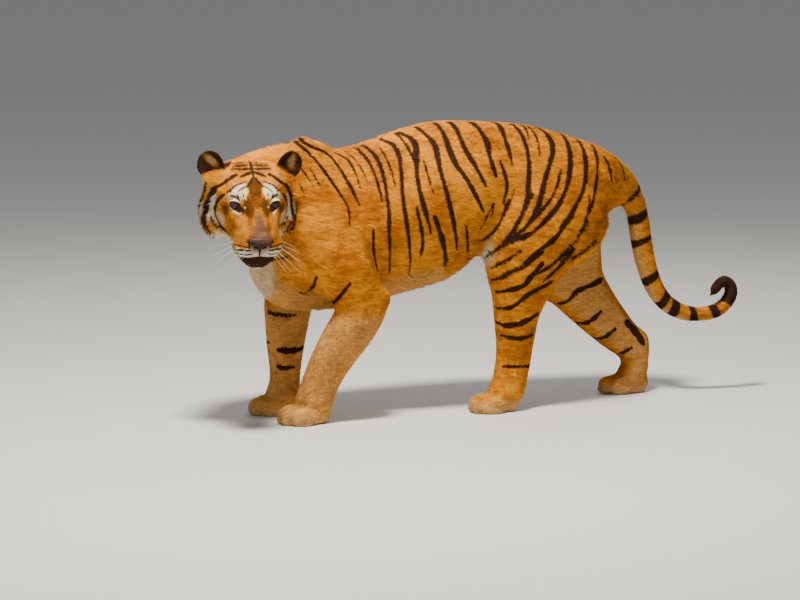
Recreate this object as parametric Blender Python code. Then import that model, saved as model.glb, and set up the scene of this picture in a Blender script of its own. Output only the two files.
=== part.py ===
"""A life-size walking tiger, head turned to its left, as a set of named solids.

Metres, +Z up. The tiger walks towards -X, so its left side faces -Y.
Soft masses are modelled whole, fused, and then parted with thin cuts.
"""
import math

import bmesh
import bpy
import numpy as np
from mathutils import Matrix, Vector

# ---------------------------------------------------------------- driving sizes
fuseVoxel = 0.011          # grid of the fused body, in the widened space below
bodyFaces = 5200           # triangles of the whole before it is parted
partGap = 0.0004           # each thin cut between two neighbours
floorLevel = 0.0           # the paws are cut flat here
eyeRadius = 0.0185         # eyeball
eyeSpread = 0.0580         # each eye's distance from the middle of the face
eyeSet = 0.002             # how far its middle is ahead of the head's origin

# The head's own frame: origin between the eyes, x to the nose, y to its left, z up.
eyesAt = Vector((-0.671, -0.300, 0.752))
headTurn = math.radians(-98.7)   # nose from +X about the vertical
headPitch = math.radians(24.0)   # nose down
headScale = 1.04
headFrame = (
    Matrix.Translation(eyesAt)
    @ Matrix.Rotation(headTurn, 4, "Z")
    @ Matrix.Rotation(headPitch, 4, "Y")
    @ Matrix.Scale(headScale, 4)
)

# ---------------------------------------------------------------- section tables
# Trunk, upright sections: x, height of the widest place, half width, rise to the back, drop to the belly.
trunkRows = (
    (-0.578, 0.590, 0.060, 0.070, 0.080),
    (-0.548, 0.585, 0.120, 0.160, 0.155),
    (-0.480, 0.590, 0.162, 0.250, 0.216),
    (-0.400, 0.595, 0.175, 0.290, 0.236),
    (-0.300, 0.600, 0.182, 0.292, 0.240),
    (-0.170, 0.620, 0.196, 0.298, 0.240),
    (-0.050, 0.645, 0.208, 0.311, 0.242),
    (0.080, 0.675, 0.211, 0.306, 0.238),
    (0.200, 0.720, 0.198, 0.258, 0.208),
    (0.330, 0.755, 0.175, 0.215, 0.180),
    (0.460, 0.765, 0.163, 0.184, 0.170),
    (0.580, 0.755, 0.151, 0.160, 0.140),
    (0.690, 0.745, 0.122, 0.132, 0.108),
    (0.764, 0.738, 0.074, 0.090, 0.065),
)

# Neck, bending to the tiger's left: x, y, z, half width, rise, drop.
neckRows = (
    (-0.300, 0.000, 0.700, 0.120, 0.160, 0.200),
    (-0.400, 0.000, 0.735, 0.140, 0.203, 0.225),
    (-0.500, -0.008, 0.758, 0.140, 0.162, 0.205),
    (-0.585, -0.045, 0.768, 0.134, 0.124, 0.190),
    (-0.632, -0.115, 0.762, 0.126, 0.101, 0.165),
    (-0.645, -0.190, 0.750, 0.112, 0.098, 0.135),
)

# Tail: x, y, z, radius.
tailRows = (
    (0.700, 0.000, 0.790, 0.062),
    (0.765, 0.000, 0.757, 0.056),
    (0.812, 0.000, 0.695, 0.046),
    (0.838, 0.003, 0.622, 0.040),
    (0.852, 0.006, 0.545, 0.037),
    (0.870, 0.008, 0.470, 0.035),
    (0.893, 0.008, 0.403, 0.033),
    (0.925, 0.006, 0.347, 0.031),
    (0.968, 0.002, 0.308, 0.029),
    (1.020, -0.004, 0.285, 0.027),
    (1.075, -0.010, 0.280, 0.025),
    (1.130, -0.014, 0.288, 0.025),
    (1.170, -0.018, 0.316, 0.024),
    (1.188, -0.022, 0.352, 0.024),
    (1.178, -0.026, 0.383, 0.023),
    (1.151, -0.030, 0.394, 0.022),
    (1.124, -0.034, 0.380, 0.021),
    (1.109, -0.038, 0.352, 0.020),
    (1.105, -0.042, 0.334, 0.017),
)

# Limbs: x, y, z, half width across the body, reach forward, reach back.
limbRows = {
    "upperArmLeft": (
        (-0.432, -0.062, 0.950, 0.018, 0.031, 0.026),
        (-0.424, -0.078, 0.912, 0.031, 0.056, 0.060),
        (-0.412, -0.108, 0.820, 0.046, 0.088, 0.105),
        (-0.402, -0.138, 0.715, 0.062, 0.115, 0.145),
        (-0.378, -0.156, 0.610, 0.074, 0.120, 0.150),
        (-0.330, -0.168, 0.520, 0.076, 0.105, 0.122),
        (-0.275, -0.176, 0.452, 0.070, 0.090, 0.092),
        (-0.225, -0.180, 0.405, 0.058, 0.070, 0.064),
    ),
    "forearmLeft": (
        (-0.205, -0.180, 0.440, 0.048, 0.062, 0.050),
        (-0.235, -0.178, 0.385, 0.064, 0.090, 0.072),
        (-0.280, -0.170, 0.318, 0.066, 0.088, 0.080),
        (-0.325, -0.158, 0.250, 0.062, 0.080, 0.076),
        (-0.360, -0.146, 0.185, 0.058, 0.074, 0.068),
        (-0.385, -0.134, 0.125, 0.058, 0.068, 0.064),
        (-0.402, -0.124, 0.065, 0.062, 0.070, 0.062),
    ),
    "upperArmRight": (
        (-0.390, 0.060, 0.905, 0.016, 0.030, 0.034),
        (-0.395, 0.078, 0.868, 0.030, 0.055, 0.065),
        (-0.400, 0.110, 0.790, 0.048, 0.090, 0.105),
        (-0.405, 0.138, 0.690, 0.062, 0.115, 0.135),
        (-0.405, 0.150, 0.590, 0.070, 0.115, 0.135),
        (-0.395, 0.152, 0.500, 0.070, 0.100, 0.115),
        (-0.385, 0.150, 0.430, 0.064, 0.085, 0.095),
        (-0.385, 0.146, 0.380, 0.055, 0.070, 0.075),
    ),
    "forearmRight": (
        (-0.385, 0.146, 0.450, 0.058, 0.080, 0.080),
        (-0.395, 0.142, 0.375, 0.064, 0.088, 0.088),
        (-0.402, 0.135, 0.300, 0.060, 0.080, 0.080),
        (-0.408, 0.127, 0.225, 0.054, 0.072, 0.068),
        (-0.412, 0.119, 0.155, 0.050, 0.062, 0.058),
        (-0.416, 0.113, 0.105, 0.052, 0.058, 0.054),
        (-0.424, 0.109, 0.060, 0.060, 0.062, 0.056),
    ),
    "thighLeft": (
        (0.520, -0.070, 0.850, 0.055, 0.140, 0.120),
        (0.490, -0.092, 0.770, 0.078, 0.190, 0.200),
        (0.455, -0.112, 0.690, 0.092, 0.220, 0.235),
        (0.410, -0.128, 0.612, 0.098, 0.215, 0.200),
        (0.365, -0.140, 0.540, 0.096, 0.178, 0.155),
        (0.340, -0.146, 0.470, 0.086, 0.142, 0.130),
        (0.330, -0.146, 0.400, 0.072, 0.110, 0.106),
        (0.320, -0.140, 0.335, 0.060, 0.088, 0.086),
        (0.316, -0.133, 0.275, 0.052, 0.078, 0.076),
    ),
    "shankLeft": (
        (0.325, -0.140, 0.345, 0.055, 0.085, 0.085),
        (0.317, -0.134, 0.275, 0.050, 0.076, 0.078),
        (0.312, -0.128, 0.215, 0.046, 0.066, 0.077),
        (0.306, -0.124, 0.160, 0.046, 0.060, 0.075),
        (0.296, -0.121, 0.105, 0.050, 0.058, 0.072),
        (0.284, -0.120, 0.058, 0.056, 0.060, 0.066),
    ),
    "thighRight": (
        (0.540, 0.070, 0.850, 0.055, 0.150, 0.120),
        (0.535, 0.092, 0.770, 0.078, 0.190, 0.195),
        (0.545, 0.112, 0.690, 0.090, 0.210, 0.215),
        (0.560, 0.126, 0.610, 0.094, 0.200, 0.208),
        (0.580, 0.134, 0.530, 0.090, 0.175, 0.192),
        (0.605, 0.136, 0.455, 0.080, 0.148, 0.172),
        (0.645, 0.134, 0.385, 0.070, 0.120, 0.142),
    ),
    "shankRight": (
        (0.600, 0.136, 0.470, 0.070, 0.112, 0.122),
        (0.650, 0.134, 0.395, 0.067, 0.108, 0.120),
        (0.705, 0.130, 0.328, 0.060, 0.095, 0.104),
        (0.760, 0.126, 0.268, 0.052, 0.085, 0.090),
        (0.815, 0.122, 0.215, 0.046, 0.078, 0.078),
        (0.862, 0.119, 0.170, 0.042, 0.064, 0.064),
        (0.890, 0.118, 0.140, 0.034, 0.045, 0.040),
    ),
    "footRight": (
        (0.914, 0.118, 0.212, 0.034, 0.036, 0.032),
        (0.902, 0.118, 0.170, 0.042, 0.052, 0.044),
        (0.895, 0.117, 0.125, 0.044, 0.052, 0.046),
        (0.884, 0.116, 0.085, 0.047, 0.054, 0.048),
        (0.866, 0.115, 0.050, 0.055, 0.052, 0.044),
    ),
}

# Paws: place of the middle pad on the floor, yaw in degrees, width over the toes.
pawPlaces = {
    "forepawLeft": ((-0.432, -0.120), 4.0, 0.150),
    "forepawRight": ((-0.450, 0.108), -3.0, 0.145),
    "hindpawLeft": ((0.250, -0.120), 5.0, 0.128),
    "hindpawRight": ((0.842, 0.114), -4.0, 0.125),
}

# Head, upright sections in its own frame: x, height of the widest place, half width, rise, drop,
# then how square the upper and the lower half are (2 is round).
headRows = (
    (-0.245, -0.030, 0.050, 0.040, 0.060, 2.0, 2.0),
    (-0.210, -0.025, 0.095, 0.072, 0.095, 2.0, 2.0),
    (-0.170, -0.025, 0.126, 0.098, 0.118, 2.1, 2.1),
    (-0.130, -0.028, 0.143, 0.115, 0.126, 2.2, 2.2),
    (-0.092, -0.032, 0.146, 0.123, 0.126, 2.2, 2.2),
    (-0.058, -0.036, 0.133, 0.120, 0.122, 2.2, 2.2),
    (-0.026, -0.040, 0.112, 0.110, 0.117, 2.2, 2.2),
    (0.004, -0.050, 0.090, 0.104, 0.106, 2.0, 2.1),
    (0.034, -0.066, 0.080, 0.102, 0.097, 1.75, 2.2),
    (0.064, -0.078, 0.076, 0.100, 0.085, 1.7, 2.3),
    (0.094, -0.086, 0.072, 0.093, 0.077, 1.7, 2.4),
    (0.116, -0.090, 0.064, 0.080, 0.070, 1.8, 2.3),
    (0.130, -0.092, 0.050, 0.062, 0.058, 2.0, 2.2),
    (0.139, -0.093, 0.028, 0.040, 0.038, 2.0, 2.0),
)

# Ear: height along it, half width, half thickness, how far the rims come forward.
earRows = (
    (-0.030, 0.036, 0.014, 0.024),
    (-0.006, 0.044, 0.013, 0.030),
    (0.018, 0.049, 0.011, 0.030),
    (0.038, 0.048, 0.010, 0.026),
    (0.055, 0.040, 0.009, 0.018),
    (0.067, 0.026, 0.008, 0.008),
    (0.074, 0.011, 0.006, 0.002),
)


# Each ear's turn outward, tilt to its side and lean back, in degrees.
earTurns = {-1: (-22, 24, -12), 1: (8, -42, -12)}


# ---------------------------------------------------------------- modelling tools
def through(rows, place):
    """The table row at a place from 0 to 1 along a smooth curve through all rows."""
    rows = np.asarray(rows, float)
    along = place * (len(rows) - 1)
    first = min(int(along), len(rows) - 2)
    t = along - first
    a, b = rows[first], rows[first + 1]
    before = rows[first - 1] if first else 2 * a - b
    after = rows[first + 2] if first + 2 < len(rows) else 2 * b - a
    return 0.5 * (
        2 * a + (b - before) * t + (2 * before - 5 * a + 4 * b - after) * t**2
        + (3 * a - before - 3 * b + after) * t**3
    )


def tube(bm, rows, frame, around=28, fineness=4):
    """A grid rolled into a closed tube. frame(row, heading) gives centre, side, up, half width, rise and drop."""
    lengths = (len(rows) - 1) * fineness
    made = bmesh.ops.create_grid(bm, x_segments=lengths, y_segments=around, size=1.0)["verts"]
    step = 0.5 / lengths
    for vert in made:
        place = (vert.co.x + 1) / 2
        angle = (vert.co.y + 1) * math.pi
        row = through(rows, place)
        heading = through(rows, min(place + step, 1.0)) - through(rows, max(place - step, 0.0))
        centre, side, up, wide, rise, drop, *corners = frame(row, Vector(heading[:3]))
        square = (corners or (2.2, 2.2))[0 if math.sin(angle) > 0 else 1]
        across = math.copysign(abs(math.cos(angle)) ** (2 / square), math.cos(angle))
        above = math.copysign(abs(math.sin(angle)) ** (2 / square), math.sin(angle))
        vert.co = centre + side * (wide * across) + up * ((rise if above > 0 else drop) * above)
    bmesh.ops.remove_doubles(bm, verts=made, dist=1e-5)
    rims = [e for e in bm.edges if e.is_boundary]
    bmesh.ops.holes_fill(bm, edges=rims)


def uprightFrame(row, heading):
    x, z, *sizes = row
    return Vector((x, 0, z)), Vector((0, 1, 0)), Vector((0, 0, 1)), *sizes


def crestFrame(row, heading):
    """For the neck and tail: up stays as near the vertical as the path allows."""
    x, y, z, wide, rise, drop = row if len(row) == 6 else (*row, row[3], row[3])
    heading = heading.normalized()
    side = heading.cross(Vector((0, 0, 1)))
    if side.length < 0.35:
        side = Vector((0, 1, 0))
    side.normalize()
    return Vector((x, y, z)), side, side.cross(heading).normalized(), wide, rise, drop


def tailFrame(row, heading):
    x, y, z, radius = row
    side = Vector((0, 1, 0))
    return Vector((x, y, z)), side, side.cross(heading).normalized(), radius, radius, radius


def limbFrame(row, heading):
    """For the limbs: side is across the body and up is the way the limb faces."""
    x, y, z, wide, front, back = row
    heading = heading.normalized()
    ahead = heading.cross(Vector((0, 1, 0))).normalized()
    if ahead.x > 0:
        ahead.negate()
    return Vector((x, y, z)), Vector((0, 1, 0)), ahead, wide, front, back


def blob(bm, centre, radii, turn=(0, 0, 0), within=None):
    """An ellipsoid, turned in degrees, in the body's frame or in another one."""
    place = Matrix.LocRotScale(Vector(centre), Matrix.Rotation(0, 3, "X"), Vector((1, 1, 1)))
    for angle, axis in zip(turn, "XYZ"):
        place = place @ Matrix.Rotation(math.radians(angle), 4, axis)
    place = place @ Matrix.Diagonal((*radii, 1))
    bmesh.ops.create_icosphere(bm, subdivisions=3, radius=1, matrix=(within or Matrix()) @ place)


def meshObject(name, bm):
    mesh = bpy.data.meshes.new(name)
    bmesh.ops.recalc_face_normals(bm, faces=bm.faces)
    bm.to_mesh(mesh)
    bm.free()
    made = bpy.data.objects.new(name, mesh)
    bpy.context.collection.objects.link(made)
    return made


def settled(obj):
    """The object's mesh with its modifiers applied."""
    graph = bpy.context.evaluated_depsgraph_get()
    mesh = bpy.data.meshes.new_from_object(obj.evaluated_get(graph))
    obj.modifiers.clear()
    obj.data = mesh
    return obj


def widen(mesh, centre, reach, inward=False):
    """Doubles all distances near a centre, so that an even grid is twice as fine there."""
    points = np.empty(len(mesh.vertices) * 3)
    mesh.vertices.foreach_get("co", points)
    away = points.reshape(-1, 3) - np.array(centre)
    far = np.maximum(np.linalg.norm(away, axis=1, keepdims=True), 1e-9)
    if inward:
        near = np.where(far < 2 * reach, far / 2, far - reach)
    else:
        near = np.where(far < reach, far * 2, far + reach)
    points = away / far * near + np.array(centre)
    mesh.vertices.foreach_set("co", points.ravel())
    mesh.update()


# ---------------------------------------------------------------- the soft body
def addPaw(bm, at, yaw, width):
    """A broad pad, four toes in an arc and the heel pad, all a little below the floor line."""
    x, y = at
    place = Matrix.Translation((x, y, 0)) @ Matrix.Rotation(math.radians(yaw), 4, "Z")
    half = width / 2
    blob(bm, (0.030, 0, 0.036), (0.062, half * 0.82, 0.046), within=place)
    blob(bm, (0.000, 0, 0.030), (0.058, half * 0.90, 0.042), within=place)
    for share, reach in ((-0.72, -0.030), (-0.25, -0.056), (0.25, -0.056), (0.72, -0.030)):
        blob(bm, (reach, share * half, 0.028), (0.042, half * 0.285, 0.034), (0, 8, share * 14), place)
        blob(bm, (reach - 0.016, share * half * 1.02, 0.020), (0.026, half * 0.235, 0.024), (0, 0, share * 14), place)


def addEar(bm, side):
    """A round cupped ear, its hollow facing forward and a little outward."""
    at = Matrix.Translation((-0.112, side * 0.112, 0.050))
    for angle, axis in zip(earTurns[side], "ZXY"):
        at = at @ Matrix.Rotation(math.radians(angle), 4, axis)
    around = 28
    made = bmesh.ops.create_grid(bm, x_segments=30, y_segments=around, size=1.0)["verts"]
    for vert in made:
        height, half, thick, cup = through(earRows, (vert.co.x + 1) / 2)
        angle = (vert.co.y + 1) * math.pi
        across, deep = (math.copysign(abs(v) ** 0.75, v) for v in (math.cos(angle), math.sin(angle)))
        vert.co = at @ Vector((cup * across**2 - cup * 0.6 + deep * thick, across * half, height))
    bmesh.ops.remove_doubles(bm, verts=made, dist=1e-5)
    bmesh.ops.holes_fill(bm, edges=[e for e in bm.edges if e.is_boundary])


def addHead(bm):
    tube(bm, headRows, uprightFrame, around=36)
    for side in (-1, 1):
        addEar(bm, side)
        blob(bm, (-0.104, side * 0.097, -0.080), (0.070, 0.060, 0.094), (0, -10, side * 8))  # ruff
        blob(bm, (-0.030, side * 0.088, -0.030), (0.046, 0.024, 0.028), (0, -8, -side * 34)) # cheekbone
        blob(bm, (-0.014, side * 0.075, 0.002), (0.022, 0.020, 0.028), (0, 0, -side * 30))   # eye's outer rim
        blob(bm, (-0.018, side * 0.054, 0.030), (0.028, 0.030, 0.016), (0, 34, side * 10))   # brow
        blob(bm, (0.090, side * 0.041, -0.094), (0.046, 0.041, 0.036), (0, 6, side * 10))    # whisker pad
        blob(bm, (0.116, side * 0.025, -0.096), (0.028, 0.028, 0.028))
    blob(bm, (0.128, 0, -0.052), (0.020, 0.036, 0.024), (0, 30, 0))                          # nose
    blob(bm, (0.100, 0, -0.146), (0.036, 0.042, 0.028), (0, 4, 0))                           # chin


def addBody(bm):
    tube(bm, trunkRows, uprightFrame)
    tube(bm, neckRows, crestFrame)
    tube(bm, tailRows, tailFrame, around=18)
    for rows in limbRows.values():
        tube(bm, rows, limbFrame)
    for place in pawPlaces.values():
        addPaw(bm, *place)
    blob(bm, (-0.178, -0.180, 0.412), (0.032, 0.042, 0.040))            # left elbow
    blob(bm, (-0.300, 0.150, 0.440), (0.040, 0.040, 0.045))             # right elbow
    blob(bm, (0.372, -0.130, 0.262), (0.026, 0.034, 0.045))             # left heel
    blob(bm, (0.906, 0.118, 0.186), (0.034, 0.036, 0.042))              # right heel
    blob(bm, (0.040, 0.000, 0.552), (0.200, 0.165, 0.128), (0, -17, 0)) # belly
    blob(bm, (0.215, -0.110, 0.600), (0.060, 0.060, 0.070))             # flank fold
    blob(bm, (-0.470, 0.000, 0.500), (0.090, 0.120, 0.110))             # breast
    blob(bm, (-0.520, -0.070, 0.700), (0.110, 0.090, 0.160), (0, 20, 0)) # side of the neck


def fusedBody():
    head = bmesh.new()
    addHead(head)
    bmesh.ops.transform(head, matrix=headFrame, verts=head.verts)
    bm = bmesh.new()
    addBody(bm)
    spare = bpy.data.meshes.new("spare")
    head.to_mesh(spare)
    head.free()
    bm.from_mesh(spare)
    body = meshObject("body", bm)
    centre = headFrame @ Vector((-0.04, 0, -0.02))
    widen(body.data, centre, 0.28)
    remesh = body.modifiers.new("fuse", "REMESH")
    remesh.mode = "VOXEL"
    remesh.voxel_size = fuseVoxel
    settled(body)
    widen(body.data, centre, 0.28, inward=True)
    away = body.vertex_groups.new(name="away")
    for vert in body.data.vertices:
        far = (vert.co - centre).length
        away.add([vert.index], min(max((far - 0.14) / 0.14, 0), 1) * (vert.co.z > 0.09), "REPLACE")
    for name, factor, times, group in (("soften", 0.5, 6, ""), ("blend", 0.6, 40, "away")):
        smooth = body.modifiers.new(name, "SMOOTH")
        smooth.factor = factor
        smooth.iterations = times
        smooth.vertex_group = group
    thin = body.modifiers.new("thin", "DECIMATE")
    thin.ratio = bodyFaces / (2 * len(body.data.polygons))
    settled(body)
    for vert in body.data.vertices:
        vert.co.z = max(vert.co.z, floorLevel)
    return body


# ---------------------------------------------------------------- parting
def volumeOf(obj):
    bm = bmesh.new()
    bm.from_mesh(obj.data)
    volume = bm.calc_volume()
    bm.free()
    return volume


def boolean(obj, other, operation="DIFFERENCE"):
    cut = obj.modifiers.new("cut", "BOOLEAN")
    cut.operation = operation
    cut.solver = "EXACT"
    cut.object = other
    settled(obj)
    bpy.data.objects.remove(other)


def islands(obj):
    """The object's loose pieces, largest first; crumbs under three cubic centimetres are dropped."""
    bpy.context.view_layer.objects.active = obj
    bpy.ops.object.select_all(action="DESELECT")
    obj.select_set(True)
    bpy.ops.mesh.separate(type="LOOSE")
    found = sorted(bpy.context.selected_objects, key=volumeOf, reverse=True)
    for crumb in [piece for piece in found if volumeOf(piece) < 3e-6]:
        found.remove(crumb)
        bpy.data.objects.remove(crumb)
    return found


def slab(at, normal, half):
    """A thin plate across a limb: centre, direction, half sizes along its two edges."""
    bm = bmesh.new()
    turn = Vector(normal).to_track_quat("Z", "Y").to_matrix().to_4x4()
    place = Matrix.Translation(at) @ turn @ Matrix.Diagonal((2 * half[0], 2 * half[1], partGap, 1))
    bmesh.ops.create_cube(bm, size=1, matrix=place)
    return meshObject("cutter", bm)


def shell(place, half):
    """A box with walls as thin as a slab, round a region of the body."""
    bm = bmesh.new()
    for grow in (0, partGap):
        size = [2 * (h + grow) for h in half]
        made = bmesh.ops.create_cube(bm, size=1, matrix=place @ Matrix.Diagonal((*size, 1)))["verts"]
        if not grow:
            bmesh.ops.reverse_faces(bm, faces=list({f for v in made for f in v.link_faces}))
    mesh = bpy.data.meshes.new("cutter")
    bm.to_mesh(mesh)
    bm.free()
    made = bpy.data.objects.new("cutter", mesh)
    bpy.context.collection.objects.link(made)
    return made


def part(pieces, source, name, cutter, seed):
    """Cuts a source in two and names the piece whose middle is nearest a point."""
    boolean(pieces[source], cutter)
    found = islands(pieces[source])
    middles = [sum((v.co for v in piece.data.vertices), Vector()) / len(piece.data.vertices) for piece in found]
    nearest = min(range(len(found)), key=lambda index: (middles[index] - Vector(seed)).length)
    print("parted", name, "from", source, [round(volumeOf(piece) * 1e3, 2) for piece in found])
    pieces[name] = found.pop(nearest)
    pieces[source] = (found or [pieces[name]])[0]
    for key in (name, source):
        pieces[key].name = key


bpy.context.preferences.edit.use_global_undo = False
for old in list(bpy.data.objects):
    bpy.data.objects.remove(old)
pieces = {"trunk": fusedBody()}
print("fused", len(pieces["trunk"].data.polygons))

# Each cut: the piece it divides, the new name, a point in the new piece, and a slab or a box.
def region(middle, half, lean=0, splay=0):
    """A box shell leaning by degrees about the body's width, then splayed about its length."""
    place = Matrix.Translation(middle) @ Matrix.Rotation(math.radians(lean), 4, "Y")
    return shell(place @ Matrix.Rotation(math.radians(splay), 4, "X"), half)


def headRegion(middle, half, lean=0):
    return shell(headFrame @ Matrix.Translation(middle) @ Matrix.Rotation(math.radians(lean), 4, "Y"), half)


def headSlab(middle, normal, half):
    turned = headFrame.to_3x3() @ Vector(normal)
    return slab(headFrame @ Vector(middle), turned, half)


# Where the tail is divided: new name, place, heading there, a point further along.
tailJoints = (
    ("tail_upper", (0.842, 0.004, 0.600), (0.12, 0, -0.99), (1.05, 0, 0.33)),
    ("tail_middle", (0.890, 0.008, 0.410), (0.40, 0, -0.92), (1.08, 0, 0.33)),
    ("tail_lower", (0.985, 0.000, 0.298), (0.90, 0, -0.44), (1.13, 0, 0.33)),
    ("tail_bend", (1.110, -0.012, 0.279), (1.00, 0, 0.05), (1.17, -0.02, 0.35)),
    ("tail_curl", (1.188, -0.022, 0.352), (0.0, 0, 1.0), (1.15, -0.03, 0.39)),
    ("tail_tip", (1.140, -0.032, 0.390), (-0.92, 0, -0.40), (1.107, -0.04, 0.34)),
)
cuts = [
    ("trunk", "head", eyesAt, slab((-0.645, -0.130, 0.800), (-0.45, -0.89, 0.0), (0.30, 0.25))),
    ("trunk", "tail_base", (0.95, 0, 0.45), slab((0.822, 0.0, 0.680), (0.38, 0.0, -0.92), (0.085, 0.085))),
    ("trunk", "forearm_left", (-0.36, -0.15, 0.15), slab((-0.262, -0.174, 0.350), (-0.35, 0, -0.94), (0.095, 0.105))),
    ("trunk", "forearm_right", (-0.41, 0.12, 0.15), slab((-0.398, 0.142, 0.340), (0, 0, -1), (0.085, 0.110))),
    ("trunk", "shank_left", (0.30, -0.12, 0.15), slab((0.322, -0.136, 0.310), (-0.15, 0, -0.99), (0.095, 0.130))),
    ("trunk", "shank_right", (0.84, 0.12, 0.15), slab((0.655, 0.134, 0.385), (0.64, 0, -0.77), (0.110, 0.165))),
    ("forearm_left", "forepaw_left", (-0.44, -0.12, 0.04), slab((-0.395, -0.127, 0.098), (0, 0, -1), (0.1, 0.1))),
    ("forearm_right", "forepaw_right", (-0.45, 0.11, 0.04), slab((-0.418, 0.112, 0.092), (0, 0, -1), (0.1, 0.1))),
    ("shank_left", "hindpaw_left", (0.25, -0.12, 0.04), slab((0.295, -0.121, 0.090), (0, 0, -1), (0.1, 0.1))),
    ("shank_right", "metatarsus_right", (0.89, 0.12, 0.10), slab((0.875, 0.118, 0.138), (0, 0, -1), (0.08, 0.120))),
    ("metatarsus_right", "hindpaw_right", (0.84, 0.11, 0.03), slab((0.880, 0.116, 0.072), (0, 0, -1), (0.1, 0.1))),
    ("trunk", "shoulder_left", (-0.36, -0.20, 0.66), region((-0.365, -0.250, 0.650), (0.185, 0.130, 0.330), -21)),
    ("trunk", "shoulder_right", (-0.39, 0.18, 0.66), region((-0.395, 0.250, 0.640), (0.175, 0.130, 0.315), -2)),
    ("trunk", "thigh_left", (0.40, -0.15, 0.55), region((0.430, -0.245, 0.535), (0.270, 0.150, 0.300), 8, 14)),
    ("trunk", "thigh_right", (0.57, 0.15, 0.55), region((0.560, 0.245, 0.570), (0.250, 0.150, 0.290), -6, -14)),
    ("trunk", "neck", (-0.60, -0.05, 0.78), slab((-0.520, 0.0, 0.760), (-0.92, 0.0, 0.38), (0.30, 0.30))),
    ("trunk", "hips", (0.60, 0, 0.75), slab((0.230, 0.0, 0.700), (1, 0, 0), (0.35, 0.35))),
    ("trunk", "chest", (-0.40, 0, 0.60), slab((-0.110, 0.0, 0.650), (1, 0, 0), (0.35, 0.35))),
    ("head", "ear_left", headFrame @ Vector((-0.11, 0.14, 0.11)), headSlab((-0.110, 0.118, 0.064), (-0.1, 0.40, 0.90), (0.062, 0.060))),
    ("head", "ear_right", headFrame @ Vector((-0.11, -0.14, 0.11)), headSlab((-0.110, -0.118, 0.064), (-0.1, -0.40, 0.90), (0.062, 0.060))),
    ("head", "jaw", headFrame @ Vector((0.07, 0, -0.15)), headRegion((0.075, 0, -0.158), (0.090, 0.110, 0.036), 2)),
    ("head", "nose", headFrame @ Vector((0.14, 0, -0.05)), headRegion((0.152, 0, -0.050), (0.024, 0.031, 0.022), 10)),
]
cuts += [(f"tail_{before}", name, beyond, slab(at, heading, (0.06, 0.06))) for before, (name, at, heading, beyond) in
         zip(("base", "upper", "middle", "lower", "bend", "curl"), tailJoints)]
for source, name, seed, cutter in cuts:
    part(pieces, source, name, cutter, seed)
pieces["belly"] = pieces.pop("trunk")
pieces["belly"].name = "belly"


# ---------------------------------------------------------------- eyes
def ball(name, centre, radius, fine):
    bm = bmesh.new()
    bmesh.ops.create_icosphere(bm, subdivisions=fine, radius=radius, matrix=Matrix.Translation(centre))
    return meshObject(name, bm)


for label, side in (("left", 1), ("right", -1)):
    centre = headFrame @ Vector((eyeSet, side * eyeSpread, 0.0))
    boolean(pieces["head"], ball("socket", centre, eyeRadius + 0.0006, 2))
    pieces[f"eye_{label}"] = ball(f"eye_{label}", centre, eyeRadius, 2)

# ---------------------------------------------------------------- finish
coats = {
    "coat_orange": (0.60, 0.24, 0.06),
    "coat_pale": (0.72, 0.58, 0.42),
    "coat_tail": (0.50, 0.26, 0.10),
    "nose_leather": (0.40, 0.19, 0.15),
    "eye_amber": (0.16, 0.08, 0.02),
}
coatOf = {"nose": "nose_leather", "jaw": "coat_pale", "eye_left": "eye_amber", "eye_right": "eye_amber"}
corners = np.array([v.co for piece in pieces.values() for v in piece.data.vertices])
low, high = corners.min(axis=0), corners.max(axis=0)
middle = Vector(((low[0] + high[0]) / 2, (low[1] + high[1]) / 2, low[2]))
for name, piece in pieces.items():
    piece.data.transform(Matrix.Translation(-middle))
    coat = coatOf.get(name, "coat_tail" if name.startswith("tail") else "coat_orange")
    material = bpy.data.materials.new(f"{coat}_{name}")
    material.use_nodes = True
    shader = material.node_tree.nodes["Principled BSDF"]
    shader.inputs["Base Color"].default_value = (*coats[coat], 1)
    shader.inputs["Roughness"].default_value = 0.15 if coat == "eye_amber" else 0.85
    piece.data.materials.clear()
    piece.data.materials.append(material)
    piece.data.shade_smooth()
print("middle", tuple(middle), "size", high - low)
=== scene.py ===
import math

import bmesh
import bpy
import numpy as np
from mathutils import Matrix, Vector
from mathutils.bvhtree import BVHTree


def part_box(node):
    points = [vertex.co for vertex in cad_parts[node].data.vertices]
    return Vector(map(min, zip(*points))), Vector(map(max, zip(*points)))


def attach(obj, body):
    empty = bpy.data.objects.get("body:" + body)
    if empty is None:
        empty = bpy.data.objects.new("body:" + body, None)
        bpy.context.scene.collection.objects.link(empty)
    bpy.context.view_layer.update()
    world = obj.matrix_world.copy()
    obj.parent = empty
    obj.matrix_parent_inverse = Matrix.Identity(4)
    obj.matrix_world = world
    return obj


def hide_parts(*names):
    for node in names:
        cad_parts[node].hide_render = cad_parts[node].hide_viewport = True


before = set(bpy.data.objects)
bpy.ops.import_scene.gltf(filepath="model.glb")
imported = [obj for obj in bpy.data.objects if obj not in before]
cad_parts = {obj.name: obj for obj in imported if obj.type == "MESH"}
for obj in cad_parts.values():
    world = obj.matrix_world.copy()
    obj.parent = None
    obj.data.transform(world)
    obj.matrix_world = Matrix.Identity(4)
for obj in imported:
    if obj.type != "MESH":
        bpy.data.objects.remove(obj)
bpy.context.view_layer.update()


def mm(table):   # a table of millimetres, in metres
    return table / 1000 if isinstance(table, (int, float)) else tuple(mm(value) for value in table)


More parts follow.
